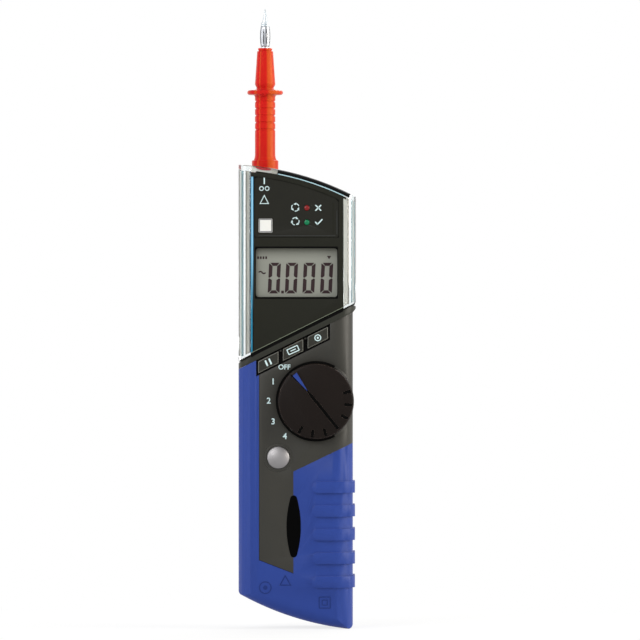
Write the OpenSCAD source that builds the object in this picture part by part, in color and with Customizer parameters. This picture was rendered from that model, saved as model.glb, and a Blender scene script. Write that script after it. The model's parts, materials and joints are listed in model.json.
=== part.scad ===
// Handheld stick tester: a slim case with a selector knob, a clear hood over a display module,
// and a plug-in test probe. Upright, +Z along the stick, the face towards -Y, +X to the right.

/* [Case] */
// Width over the hood and the shoulder band
case_w = 48; // [48:0.5:52]
// Depth from the front face to the rear face
case_d = 34; // [33:0.5:38]
// How much narrower the handle is than the hood, all on its right side
right_step = 1.2; // [0.6:0.1:1.8]
// Wall of the front and rear covers
wall = 3; // [2.8:0.1:3.4]
// Depth from the front face to the joint between the two covers
part_depth = 17; // [16:0.5:18]
// Radius of the long front edges of the case
front_edge_r = 8.5; // [7:0.5:9]
// Radius of the long rear edges of the case
rear_edge_r = 6; // [5:0.5:7]
// Radius in side view of the curve of the bottom end
end_arc_r = 119; // [110:1:130]
// Distance of the centre of that curve to the right of the centre line
end_arc_x = 34.4; // [32:0.2:36]
// Edge radius round the bottom end
end_edge_r = 5; // [4:0.5:6]
// Length of the small flat at the lowest corner
foot_flat = 2.2; // [1.5:0.1:4]
// Radius of the two lower corners in front view
corner_r = 2; // [1.5:0.1:2.2]
// Clearance between pieces that are fixed together
fit_gap = 0.05; // [0.03:0.01:0.08]

/* [Grip] */
// Thickness of the blue grip skin
grip_t = 1.4; // [1:0.1:1.6]
// Width of the grip strip down the left side
grip_strip_w = 8.5; // [7.5:0.1:9]
// Drop of the grey panel's right corner below the knob centre
grip_drop = 17; // [16.5:0.5:20]
// Slope of the upper edge of the grip, in degrees
grip_slope = 25.7; // [22:0.5:28]
// Width of the grey tongue that runs down between the grips
tongue_w = 14; // [13:0.5:15]
// Height of the lower end of that tongue, at its left side
tongue_z = 28.3; // [26:0.5:32]
// Number of finger ribs
rib_count = 5; // [3:1:5]
// Height of the lowest rib
rib_z = 19.3; // [18:0.5:21]
// Spacing of the ribs
rib_pitch = 9.67; // [9:0.1:10]
// Height of one rib
rib_w = 4.7; // [4:0.1:5.2]
// How far a rib stands proud of the grip
rib_proud = 0.9; // [0.6:0.1:1]
// Length of a rib, from its rounded end to the case's right side
rib_l = 16.8; // [15:0.2:18]

/* [Shoulder] */
// Height of the lower edge of the shoulder band on the centre line
shoulder_z = 118.1; // [117:0.5:124]
// Slope of the shoulder, in degrees
shoulder_tilt = 26.4; // [25:0.2:27.4]
// Height of the shoulder band
band_h = 2.8; // [2.4:0.1:3.4]
// Height of the rubber ring between band and hood
seal_h = 0.7; // [0.5:0.1:1]
// Width of the step inside the band that carries the display module
band_step = 8; // [7:0.5:9]

/* [Hood] */
// Thickness of the clear side walls
hood_side_t = 5; // [4.8:0.1:5]
// Thickness of the clear top wall
hood_top_t = 2.6; // [2:0.1:3]
// Thickness of the clear rear wall
hood_rear_t = 2.5; // [2:0.1:3]
// Radius of the convex top
top_arc_r = 114.5; // [110:0.5:120]
// Distance of the centre of that curve to the left of the centre line
top_arc_x = 29.4; // [28:0.2:31]
// Edge radius of the hood's long edges
hood_edge_r = 6.5; // [5.5:0.5:7]
// Edge radius round the hood's top
hood_top_r = 2.2; // [1.5:0.1:3]

/* [Display] */
// Width of the module's face to the left of the display window
lcd_left = 1.7; // [1.7:0.1:2.4]
// Width of the module's face to the right of the display window
lcd_right = 2.2; // [1.7:0.1:3.2]
// Height of the display window
lcd_h = 20.5; // [18:0.1:21]
// Height of the window above the shoulder on the centre line
lcd_rise = 17.3; // [17:0.1:20]
// Width of the display glass beyond the window, on each side
lcd_lap = 0.6; // [0.4:0.1:0.6]
// Thickness of the display glass
lcd_t = 2.2; // [1.8:0.1:2.6]
// Thickness of the module's side walls
module_t = 1; // [0.8:0.1:1]
// Thickness of the module's front wall
bezel_t = 2; // [1.6:0.1:2.2]
// Height of the legend plate at its left side
plate_h = 25.4; // [24:0.2:28]
// Width of the module's face to the right of the legend plate
plate_right = 2; // [1.6:0.1:3]
// Gap between the window and the legend plate
plate_gap = 4.2; // [3.6:0.1:5]
// Depth of the legend plate in the module's face
plate_t = 0.6; // [0.4:0.1:0.8]
// Width of the module's face above the legend plate
plate_margin = 1.8; // [1.4:0.1:2.4]
// Diameter of a signal lamp
lamp_d = 2.3; // [2:0.1:3]
// Lamps to the right of the centre line
lamp_x = 4; // [3:0.1:5]
// Height of the lower lamp above the legend plate's lower edge
lamp_z = 6.1; // [5.5:0.1:7]
// Spacing of the two lamps
lamp_pitch = 5.9; // [4.5:0.1:6]
// Side of the square badge
badge_side = 5.6; // [5:0.1:6]

/* [Keys] */
// Width of a key
key_w = 8.3; // [8:0.1:8.8]
// Height of a key
key_h = 4.9; // [4.4:0.1:5.2]
// Spacing of the keys along X
key_pitch = 10.1; // [10:0.1:10.8]
// Gap between a key and its frame
key_gap = 0.3; // [0.25:0.05:0.4]
// Travel of a key
key_travel = 0.8; // [0.6:0.1:1]
// How far a key stands proud
key_proud = 0.35; // [0.2:0.05:0.6]

/* [Selector] */
// Radius of the selector knob
knob_r = 15.5; // [14.5:0.1:15.8]
// How far the knob reaches past the handle's right side
knob_over = 0.4; // [0.2:0.1:0.8]
// Height of the shoulder above the knob centre
knob_drop = 25; // [25:0.2:27]
// How far the knob stands proud of the face
knob_proud = 5; // [4:0.2:6]
// Depth of the well round the knob
well_d = 2.5; // [2:0.1:3]
// Gap between the knob and its well
well_gap = 0.95; // [0.7:0.05:1.1]
// Radius of the knob's spindle
spindle_r = 4; // [3.6:0.1:4.4]
// Running clearance round the spindle
spindle_gap = 0.05; // [0.03:0.01:0.08]
// Direction of the pointer at OFF, in degrees from +X
off_angle = 129; // [128:0.5:135]
// Angle between two positions of the selector
step_angle = 24; // [22:1:26]
// Number of positions of the selector
positions = 5; // [4:1:6]

/* [Electrode] */
// Diameter of the touch electrode
electrode_d = 9.2; // [8.6:0.1:9.6]
// Distance of the electrode's centre from the case's left side
electrode_in = 16.3; // [16:0.1:17]
// Drop of the electrode below the knob centre
electrode_drop = 23; // [23:0.2:24]
// Give of the electrode on its spring
electrode_travel = 0.5; // [0.3:0.1:0.6]
// How far the dome stands proud
dome_proud = 1.5; // [1:0.1:2]

/* [Badge] */
// Width of the oval badge
oval_w = 5.7; // [5:0.1:6.4]
// Height of the oval badge
oval_h = 25.2; // [22:0.2:26]
// Height of the badge centre
oval_z = 42; // [41:0.2:44]
// Radius of the badge's upper and lower end
oval_end_r = 1.3; // [1.1:0.1:2]

/* [Socket] */
// Radius of the bore of both 4 mm sockets
jack_r = 2; // [1.98:0.01:2.05]
// Outer radius of the socket sleeves
jack_sleeve_r = 2.8; // [2.6:0.1:3]
// Radius of the well round the lower socket
jack_well_r = 4.1; // [4:0.1:4.2]
// Outer radius of the socket insulators
jack_body_r = 5.4; // [5.2:0.1:5.5]
// Length of the bore of a socket
jack_len = 18; // [17:0.5:19]
// Depth of the lower socket's sleeve behind its mouth
jack_recess = 4; // [3.5:0.1:5]
// Distance of the lower socket's axis from the case's left side
com_in = 11; // [10.8:0.1:11.4]

/* [Probe] */
// Distance of the probe's axis from the hood's left side
probe_in = 10.8; // [10.6:0.1:11.2]
// Depth of the probe axis behind the front face
probe_depth = 17; // [16.5:0.1:18]
// Length of the red handle above the hood
handle_l = 48.8; // [46:0.2:52]
// Radius of the straight part of the handle
handle_r = 4.18; // [4:0.02:4.4]
// Radius of the collar that stands in the hood
collar_r = 5.45; // [5.2:0.05:5.6]
// Radius of the finger guard
guard_r = 7.35; // [6.8:0.05:8]
// Height of the finger guard below the handle's upper end
guard_drop = 19.2; // [18:0.1:20]
// Number of grooves in the handle
groove_count = 5; // [3:1:6]
// Spacing of the grooves
groove_pitch = 2.9; // [2.7:0.05:3]
// Depth of a groove
groove_d = 0.45; // [0.3:0.05:0.6]
// Radius of the contact rod in the handle
rod_r = 1.5; // [1.3:0.05:1.6]
// Radius of the lantern contact at its widest
lantern_r = 2.12; // [2.05:0.01:2.2]
// Length of the lantern contact
lantern_l = 8.3; // [7.5:0.1:9]
// Length of the needle above the lantern
needle_l = 7.3; // [6.5:0.1:9]

/* [Battery] */
// Diameter of a cell
cell_d = 10.5; // [10.2:0.1:10.5]
// Length of a cell
cell_l = 44.5; // [44:0.1:44.5]
// Height of the inside of the battery bay
bay_z = 20; // [19.5:0.1:21]
// Wall of the battery bay
bay_wall = 1.4; // [1.2:0.1:1.5]
// Thickness of the battery door
door_t = 2; // [1.8:0.1:2.1]

/* [Inside] */
// Depth of the circuit boards behind the front face
board_depth = 9; // [9:0.1:9.4]
// Thickness of the circuit boards
board_t = 1.6; // [1.2:0.2:1.6]
// Shank radius of the case screws
screw_r = 1.2; // [1:0.05:1.3]
// Head radius of the case screws
screw_head_r = 2.1; // [2:0.1:2.3]

/* [Hidden] */
$fn = 64;
// Longer than anything in the part
far = 400;
// How far a cut runs past the face that it opens
over = 1;
// How deep a boss or rib starts inside the wall that carries it
sink = 0.5;
// How far a corner's circle passes the two sides that it joins, so that they cross cleanly
corner_slack = 0.01;

// Places across the case
body_w = case_w - right_step;
body_cx = -right_step / 2;
body_left = -case_w / 2;
body_right = case_w / 2 - right_step;
rib_x = body_right - rib_l;

// Places in depth, from the front to the rear; the knob's face and the rear face are level with the box
front_y = (knob_proud - case_d) / 2;
rear_y = front_y + case_d;
inner_front_y = front_y + wall;
inner_rear_y = rear_y - wall;
part_y = front_y + part_depth;
board_y = front_y + board_depth;
board_rear_y = board_y + board_t;

// Heights up the case
end_arc_z = sqrt(pow(end_arc_r, 2) - pow(end_arc_x - body_right + foot_flat, 2));
corner_z = end_arc_z - sqrt(pow(end_arc_r - corner_r, 2) - pow(end_arc_x - body_left - corner_r, 2));
band_top_z = shoulder_z + band_h;
hood_z = band_top_z + seal_h;
lcd_z = shoulder_z + lcd_rise;
plate_z = lcd_z + lcd_h + plate_gap;
plate_top_z = plate_z + plate_h;
hood_top = plate_top_z + plate_margin + hood_top_t;
top_arc_z = hood_top - top_arc_r;
knob_x = body_right + knob_over - knob_r;
knob_z = shoulder_z - knob_drop;
electrode_x = case_w / 2 - electrode_in;
electrode_z = knob_z - electrode_drop;
well_r = knob_r + well_gap;

// Tongue between the grips: how much its lower end drops towards the right
tongue_slant = 5.5;

// Shoulder band: the chamfers of its ends, its opening, and the spigot that holds it in the case
band_foot = 1;
band_nose = 0.9;
band_front = 5;
band_rear = 5.5;
band_corner_r = 3;
spigot_gap = 0.1;
spigot_t = 1.7;
spigot_h = 4;
seal_in = 0.3;
seal_gap = 0.2;

// Snap windows in the hood's side walls
snap_in = 2.2;
snap_w = 1;
snap_h = 5;
snap_rise = 6;
snap_d = 6;

// Oval badge: four arcs, the ends with oval_end_r and the sides with this radius
oval_lead = 0.1;
oval_cx = body_left + grip_strip_w + tongue_w + oval_lead;
oval_side_r = (pow(oval_h, 2) / 4 + pow(oval_w, 2) / 4 - oval_h * oval_end_r) / (oval_w - 2 * oval_end_r);
oval_end_z = oval_h / 2 - oval_end_r;
oval_join_z = oval_end_z + oval_end_r * oval_end_z / (oval_side_r - oval_end_r);
oval_proud = 0.1;
badge_gap = 0.1;

// Selector stack
cup_t = 1.8;
cup_floor_y = front_y + well_d + 2;
rotor_gap = 0.3;
rotor_y = cup_floor_y + rotor_gap;
rotor_t = 2.4;
rotor_r = 10;
shaft_r = spindle_r - 1.1;
shaft_end = 1;
clip_y = rotor_y + rotor_t + fit_gap;
clip_t = 0.6;
clip_r = shaft_r + 1.4;
clip_mouth = 3.2;
groove_depth = 0.5;

// Face of the knob
knob_edge = 1.1;
soft_side = 0.35;
soft_face = 0.3;
line_w = 0.6;
line_z = 1.5;
line_depth = 0.8;
line_end = 0.5;
tail_w = 1.3;
tail_end = 1.1;
tail_taper = 3;
pointer_w = 2.1;
pointer_z = 0.8;
pointer_tip_w = 0.2;
pointer_in = 5.6;
pointer_end = 1.4;
notch_angle = 22.5;
notch_count = 3;
notch_in = 3.9;
notch_l = 3.2;
notch_w = 1.2;

// Detent and wipers
ball_r = 1.2;
ball_gap = 0.1;
ball_x = knob_x - rotor_r - rotor_gap - ball_r;
ball_y = rotor_y + rotor_t / 2;
detent_spring_l = 5;
detent_wall = 1.1;
detent_half = ball_r + ball_gap + detent_wall;
detent_coil_r = 0.8;
detent_wire_r = 0.18;
detent_turns = 4;
detent_cut_r = 0.9;
detent_cut_out = 0.4;
wiper_in = 4;
wiper_l = 2.6;
wiper_w = 2.4;
wiper_t = 0.25;
finger_w = 0.8;
finger_t = 0.5;
finger_gap = 0.2;

// Key stack
key_lead = 0.4;
key_left = case_w / 2 - grip_strip_w + key_lead;
key_top_y = front_y - key_proud;
key_frame_y = front_y + 0.5;
key_frame_rear_y = inner_front_y - 0.7;
key_flange_y = key_frame_rear_y + 0.3;
key_base_y = inner_front_y + 0.4;
key_flange = 0.2;
key_slot_margin = 0.8;
key_slot_d = 1.5;
pad_gap = 0.1;
pad_y = key_base_y + key_travel + pad_gap;
pad_t = 0.6;
pad_in = 1;
sheet_t = 1;
sheet_y = pad_y + pad_t;
sheet_margin = 0.5;
plunger_r = 1.2;
switch_t = 1.5;
switch_w = 3.5;
switch_y = board_y - switch_t;

// Touch electrode
ring_r = electrode_d / 2 + 1.1;
ring_gap = 0.12;
ring_proud = 0.05;
dome_flange = 0.8;
dome_flange_t = 1;
dome_flange_y = inner_front_y + 0.2;
dome_stub_r = 1.5;
dome_stub_l = 2.4;
electrode_coil_r = 2.6;
electrode_wire_r = 0.25;
electrode_turns = 3.5;

// Screws: left middle, right low, left high, right high
boss_r = 3.1;
boss_gap = 0.2;
screw_left_x = body_left + wall + boss_r + boss_gap;
screw_right_x = body_right - wall - boss_r - boss_gap;
screw_low_z = 10.5;
screw_left_z = 42;
screw_high_drop = 17.1;
screw_high_z = knob_z - screw_high_drop;
screw_points = [[screw_left_x, screw_left_z], [screw_right_x, screw_low_z],
    [screw_left_x, screw_high_z], [screw_right_x, screw_high_z]];
screw_gap = 0.2;
screw_seat = 6;
screw_seat_y = rear_y - screw_seat;
head_t = 2;
thread_gap = 0.03;
insert_l = 4.6;
insert_r = 2;

// Battery bay
cell_gap = 0.5;
cell_rest = 0.4;
nub_r = 1.9;
nub_l = 0.8;
contact_t = 0.4;
contact_w = cell_d - 1.7;
cell_spring_l = 5.6;
cell_spring_r = cell_d / 2 - 1.65;
cell_tip_r = cell_spring_r - 1.4;
cell_wire_r = 0.3;
cell_turns = 4;
bay_w = 2 * cell_d + 3 * cell_gap;
bay_l = cell_l + cell_spring_l + 2 * contact_t;
cell_y = rear_y - door_t - 0.7 - cell_d / 2;
bay_y = cell_y - cell_d / 2 - cell_rest;
door_lip = 0.9;
door_gap = 0.2;
door_rim_t = 1.2;
door_rim_d = 0.5;
door_z = bay_z - 2.5;
door_screw_z = bay_z + bay_l + bay_wall + 4.2;
door_top_z = door_screw_z + 4.6;
door_w = bay_w + 2 * door_lip;
door_boss_r = boss_r - 0.8;
door_boss_y = inner_rear_y - 1;
door_seat_l = 7;
door_screw_r = 0.9;
door_head_r = screw_head_r - 0.1;
door_head_d = 1.5;
door_slot_w = 0.6;
door_slot_d = 0.7;
thumb_count = 5;
thumb_w = 1;
thumb_pitch = 1.8;
thumb_l = 12;
thumb_d = 0.5;
thumb_z = door_z + 5;

// Sockets
sleeve_end = 3;
tail_r = 0.9;
tail_l = 3;
insulator_stop = 5;
lead_w = 2;
lead_t = 1;
com_x = case_w / 2 - com_in;
com_y = bay_y - bay_wall - 0.3 - jack_body_r;
com_mouth_z = end_z(-com_x);
com_sleeve_z = com_mouth_z + jack_recess;
com_top_z = com_sleeve_z + jack_len + sleeve_end;
board_low_z = com_top_z + 4;
lead_foot = 4;
probe_x = case_w / 2 - probe_in;
probe_y = front_y + probe_depth;
arc_edge_gap = 0.2;
module_arc_r = top_arc_r - hood_top_t - arc_edge_gap;
input_top_z = top_z(-probe_x, module_arc_r) + 1.1;
input_low_z = input_top_z - jack_len - sleeve_end;
input_lead_l = 8;
socket_wall = 1;
socket_hold = 6;

// Display module
module_gap = 0.1;
module_w = case_w - 2 * hood_side_t - 2 * module_gap;
module_rear_y = rear_y - hood_rear_t - 0.2;
module_split_y = part_y;
lcd_w = module_w - lcd_left - lcd_right;
lcd_cx = (lcd_left - lcd_right) / 2;
glass_y = front_y + bezel_t + fit_gap;
light_t = 1.8;
light_in = 1.4;
light_y = glass_y + lcd_t + fit_gap;
led_r = 0.8;
led_d = 0.8;
led_in = 4.7;
zebra_w = 1.6;
zebra_in = 0.2;
zebra_end = 1;
plate_left = 0.4;
strip_w = 1.2;
strip_d = 1;
strip_drop = 1.7;
strip_top_z = top_z(-module_w / 2, module_arc_r) - strip_drop;
plate_w = module_w - strip_w - plate_left - plate_right;
plate_x = -module_w / 2 + strip_w + plate_left;
badge_in = 1.6;
badge_rise = 1.95;
badge_t = 0.3;
lamp_heights = [plate_z + lamp_z, plate_z + lamp_z + lamp_pitch];
lamp_hole_gap = 0.1;
lamp_proud = 0.2;
lamp_flange = 0.4;
lamp_flange_t = 2.4;
post_r = 2.6;
post_in = 3.2;
post_hole_r = 0.9;
post_head_r = 2;
post_head_d = 2;
post_top = 0.3;
post_low = 6;
display_screw_points = [[module_w / 2 - post_in, plate_z], [-module_w / 2 + post_in, lcd_z - post_low]];
back_t = 1.4;
back_rear_t = 1.6;
display_board_gap = 0.4;
vent_count = 5;
vent_margin = 8.4;
vent_w = 1.2;
vent_pitch = 4;
vent_d = 0.8;
vent_rise = 2;
ribbon_w = 12;
ribbon_t = 0.3;
ribbon_lap = 9;

// Main board and what is on it
board_in = 0.5;
board_drop = 5;
shaft_gap = 0.3;
chip_w = 10;
chip_h = 12;
chip_t = 1.4;
chip_z = knob_z - 2;
chip_right = knob_x - shaft_r - 1.8;
pin_l = 1.2;
pin_w = 0.5;
pin_t = 0.3;
pin_pitch = 1.35;
pin_count = 8;
resistor_r = 1.4;
resistor_l = 7;
resistor_pitch = 4;
resistor_rise = 8;
resistor_gap = 0.1;
wire_r = 0.3;
wire_l = 2;
thermistor_r = 2.5;
thermistor_t = 2.2;
thermistor_stand = 1;
thermistor_x = chip_right - chip_w - pin_l - 0.5 - thermistor_r;
thermistor_z = chip_z + 5;
buzzer_r = 6.5;
buzzer_t = 4.5;
buzzer_hole_r = 1;
buzzer_hole_d = 1.5;
buzzer_x = screw_right_x - boss_r - 0.8 - buzzer_r;
buzzer_drop = 20;
buzzer_z = knob_z - buzzer_drop;

// Probe, counted up from the socket
collar_gap = 0.2;
collar_edge = 0.4;
collar_rise = 3.2;
collar_z = input_top_z + 0.25;
collar_top_z = top_z(-probe_x, top_arc_r) + collar_rise;
handle_top_z = hood_top + handle_l - 0.7;
handle_taper = 0.9;
handle_lip = 0.2;
flare_l = 2;
flare = 0.4;
guard_t = 1.9;
guard_edge = 0.6;
guard_z = handle_top_z - guard_drop;
waist = 0.7;
waist_z = guard_z + 2.8;
taper_z = guard_z + 4.1;
lip_z = handle_top_z - 0.8;
lip_gap = 0.4;
groove_top_z = guard_z - 3.2;
groove_r = groove_d + 0.15;
lantern_z = handle_top_z + 0.6;
needle_z = lantern_z + lantern_l;
plug_r = jack_r - 0.04;
plug_l = jack_len - 1;
plug_edge = 0.6;
neck_r = 1.15;
bead_r = 1.75;
bead_l = 1.8;
tip_r = 0.12;
lantern_end_r = 1.8;
leaf_t = 0.3;
slit_w = 0.4;
slit_count = 8;
slit_end = 1.2;
lantern_swell = lantern_r - lantern_end_r;
lantern_arc_r = (pow(lantern_l / 2, 2) + pow(lantern_swell, 2)) / (2 * lantern_swell);

// Height of the shoulder band's lower edge at x
function band_z(x) = shoulder_z + x * tan(shoulder_tilt);
// Height of the case's bottom end at x
function end_z(x) = end_arc_z - sqrt(pow(end_arc_r, 2) - pow(end_arc_x - x, 2));
// Height at x of a top curve of radius r
function top_z(x, r) = top_arc_z + sqrt(pow(r, 2) - pow(x + top_arc_x, 2));
// Left side and centre of a key
function key_x(i) = -key_left + i * key_pitch;
function key_centre_x(i) = key_x(i) + key_w / 2;
function key_centre_z(i) = band_z(key_centre_x(i)) - key_slot_margin - key_h / 2;
// Rear end of a front boss: at the board, or at the rear boss where no board lies between them
function boss_end_y(p) = p[1] < board_low_z ? board_rear_y : board_y;
// Height of a pin of the controller chip
function pin_z(i) = chip_z + (chip_h - (pin_count - 1) * pin_pitch - pin_w) / 2 + i * pin_pitch;

// ---- Tools of construction ----

// Turns a flat outline, drawn as x and z, into a prism from y0 to y1
module prism(y0, y1) {
    translate([0, y1, 0]) rotate([90, 0, 0]) linear_extrude(y1 - y0) children();
}

// Cylinder along Y
module rod_y(x, z, r, y0, y1) {
    translate([x, y1, z]) rotate([90, 0, 0]) cylinder(r = r, h = y1 - y0);
}

// Cylinder along Z
module rod_z(x, y, r, z0, z1) {
    translate([x, y, z0]) cylinder(r = r, h = z1 - z0);
}

// Block between two corners
module block(x0, x1, y0, y1, z0, z1) {
    translate([x0, y0, z0]) cube([x1 - x0, y1 - y0, z1 - z0]);
}

// Everything between two depths
module slab(y0, y1) {
    translate([-far, y0, -far]) cube([2 * far, y1 - y0, 2 * far]);
}

// Everything above the shoulder's slope, from height z on the centre line
module above(z) {
    translate([0, 0, z]) rotate([0, -shoulder_tilt, 0]) translate([-far / 2, -far / 2, 0]) cube(far);
}

// Everything below the shoulder's slope, up to height z on the centre line
module below(z) {
    translate([0, 0, z]) rotate([0, -shoulder_tilt, 0]) translate([-far / 2, -far / 2, -far]) cube(far);
}

// Rectangle in plan with its own radius on the front and on the rear corners
module round_section(w, y0, y1, rf, rr) {
    translate([-w / 2, y0 + rf]) square([w, y1 - rr - y0 - rf]);
    translate([-w / 2 + rf, y0]) square([w - 2 * rf, rf]);
    translate([-w / 2 + rr, y1 - rr]) square([w - 2 * rr, rr]);
    for (side = [-1, 1]) {
        translate([side * (w / 2 - rf), y0 + rf]) circle(rf);
        translate([side * (w / 2 - rr), y1 - rr]) circle(rr);
    }
}

// Disc about the Y axis from y0 to y1, with a rounded rim
module round_disc(r, y0, y1, edge) {
    rotate([90, 0, 0]) rotate_extrude($fn = 256) {
        translate([0, -y1]) square([r - edge, y1 - y0]);
        translate([0, edge - y1]) square([r, y1 - y0 - 2 * edge]);
        for (v = [-y1 + edge, -y0 - edge]) translate([r - edge, v]) intersection() {
            circle(edge);
            translate([-0.5 * edge, -edge]) square([1.5 * edge, 2 * edge]);
        }
    }
}

// Outline of the rounded end of a slot, drawn along x from x0
module slot_end(x0, x1, z, h) {
    translate([x0 + h / 2, z]) circle(h / 2);
    translate([x0 + h / 2, z - h / 2]) square([x1 - x0 - h / 2, h]);
}

// Parallelogram that follows the shoulder's slope, from x0 to x1; z0 and z1 are counted from the slope
module sloped(x0, x1, z0, z1) {
    polygon([[x0, band_z(x0) + z0], [x1, band_z(x1) + z0], [x1, band_z(x1) + z1], [x0, band_z(x0) + z1]]);
}

// Cross recess in a screw head of radius r, sunk from its face at y
module cross_recess(x, y, z, r, turn) {
    for (a = [turn, turn + 90]) translate([x, y, z]) rotate([0, a, 0])
        cube([0.3 * r, 0.7 * r, 1.2 * r], center = true);
}

// Coil along Z from 0 to h, with its end radii r0 and r1
module coil(r0, r1, wire_r, h, turns, sides = 6, per_turn = 14) {
    steps = round(turns * per_turn);
    ring = function(i) let (a = 360 * turns * i / steps, r = r0 + (r1 - r0) * i / steps,
        z = wire_r + (h - 2 * wire_r) * i / steps)
        [for (k = [0:sides - 1]) let (b = 360 * k / sides)
            [(r + wire_r * cos(b)) * cos(a), (r + wire_r * cos(b)) * sin(a), z + wire_r * sin(b)]];
    points = [for (i = [0:steps]) each ring(i)];
    faces = concat(
        [[for (k = [0:sides - 1]) k]],
        [for (i = [0:steps - 1], k = [0:sides - 1]) let (n = (k + 1) % sides)
            [i * sides + k, (i + 1) * sides + k, (i + 1) * sides + n, i * sides + n]],
        [[for (k = [sides - 1:-1:0]) steps * sides + k]]);
    polyhedron(points, faces, convexity = 8);
}

// ---- Forms that several pieces share ----

// The case's outer form, drawn in by inset on every side but the top
module case_form(inset = 0) {
    difference() {
        intersection() {
            translate([body_cx, 0, inset]) linear_extrude(far)
                round_section(body_w - 2 * inset, front_y + inset, rear_y - inset,
                    front_edge_r - inset, rear_edge_r - inset);
            translate([end_arc_x, 0, end_arc_z])
                round_disc(end_arc_r - inset, front_y + inset, rear_y - inset, end_edge_r - inset);
        }
        if (inset < corner_r) prism(-far / 2, far / 2) corner_waste(corner_r - inset);
    }
}

// What lies outside the two lower corners, which are rounded with radius r
module corner_waste(r) {
    difference() {
        translate([body_right - corner_r, corner_r - far]) square(far);
        translate([body_right - corner_r, corner_r]) circle(r + corner_slack);
    }
    translate([body_left + corner_r, corner_z]) difference() {
        polygon([[0, 0], [-far, 0], [-far, -far], far * [body_left + corner_r - end_arc_x,
            corner_z - end_arc_z] / (end_arc_r - corner_r)]);
        circle(r + corner_slack);
    }
}

// The hood's outer form
module hood_form() {
    intersection() {
        linear_extrude(far) round_section(case_w, front_y, rear_y, hood_edge_r, hood_edge_r);
        translate([-top_arc_x, 0, top_arc_z]) round_disc(top_arc_r, front_y, rear_y, hood_top_r);
        above(hood_z);
    }
}

// Outline of the display module in front view
module module_outline(inset = 0) {
    low = band_h + fit_gap + inset;
    intersection() {
        translate([-module_w / 2 + inset, 0]) square([module_w - 2 * inset, far]);
        translate([-top_arc_x, top_arc_z]) circle(module_arc_r - inset, $fn = 256);
        polygon([[-far, band_z(-far) + low], [far, band_z(far) + low], [far, 3 * far], [-far, 3 * far]]);
    }
}

// Outline of the grips in front view: all below the slope, and the strip up the left side
module grip_outline() {
    edge_z = knob_z - grip_drop;
    low_z = edge_z - far * tan(grip_slope);
    polygon([[body_right - far, -far], [body_right + over, -far],
        [body_right + over, edge_z + over * tan(grip_slope)], [body_right - far, low_z]]);
    translate([body_left - over, -over]) {
        square([grip_strip_w + over, far]);
        square([grip_strip_w + tongue_w + over, tongue_z + 4 * tongue_slant]);
    }
}

// Outline of the grey tongue that the front grip leaves free
module tongue_outline() {
    x0 = body_left + grip_strip_w;
    x1 = x0 + tongue_w;
    polygon([[x0, tongue_z], [x1, tongue_z - tongue_slant],
        [x1, knob_z - grip_drop + (x1 - body_right) * tan(grip_slope)], [x1, far], [x0, far]]);
}

// Layer of the case that the grips fill, and the air over it
module grip_skin() {
    difference() {
        case_form(-over);
        case_form(grip_t);
    }
}

module front_grip_zone(extra = 0) {
    difference() {
        prism(-far / 2, part_y + extra) grip_outline();
        prism(-far / 2, far / 2) tongue_outline();
    }
}

module rear_grip_zone(extra = 0) {
    prism(part_y - extra, far / 2) grip_outline();
}

// The skin of a grip, inside a zone
module grip_shell() {
    difference() {
        case_form();
        case_form(grip_t - fit_gap);
    }
}

// Ribs of the grips from y0 to y1
module grip_ribs(y0, y1) {
    intersection() {
        difference() {
            case_form(-rib_proud);
            case_form(fit_gap);
        }
        prism(y0, y1) for (i = [0:rib_count - 1])
            slot_end(rib_x, body_right + 2 * rib_proud, rib_z + i * rib_pitch, rib_w);
    }
}

// Slot for the key frame, open towards the shoulder band
module key_slot(gap = 0) {
    side = key_slot_margin + gap;
    prism(-far / 2, inner_front_y + key_slot_d)
        sloped(key_x(0) - side, key_x(2) + key_w + side, -key_h - key_slot_margin - side, gap + over);
}

module key_outline(index, gap = 0) {
    sloped(key_x(index) - gap, key_x(index) + key_w + gap,
        -key_slot_margin - key_h - gap, -key_slot_margin + gap);
}

// Cut for the lower socket's insulator
module com_hole() {
    rod_z(-com_x, com_y, jack_body_r + fit_gap, -over, com_top_z);
}

// Outline of the oval badge
module oval_outline(gap = 0) {
    intersection() {
        translate([oval_cx + oval_w / 2 - oval_side_r, oval_z]) circle(oval_side_r + gap, $fn = 256);
        translate([oval_cx - oval_w / 2 + oval_side_r, oval_z]) circle(oval_side_r + gap, $fn = 256);
        translate([oval_cx - oval_w, oval_z - oval_join_z]) square([2 * oval_w, 2 * oval_join_z]);
    }
    for (side = [-1, 1]) translate([oval_cx, oval_z + side * oval_end_z]) circle(oval_end_r + gap);
}

// Outline of the battery door
module door_outline(gap = 0) {
    translate([body_cx - door_w / 2 - gap, door_z - gap])
        square([door_w + 2 * gap, door_top_z - door_z + 2 * gap]);
}

// Outer block of the battery bay, from its floor to y1
module bay_box(y1) {
    side = bay_w / 2 + bay_wall;
    block(body_cx - side, body_cx + side, bay_y - bay_wall, y1, bay_z - bay_wall, bay_z + bay_l + bay_wall);
}

// ---- Case ----

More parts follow.
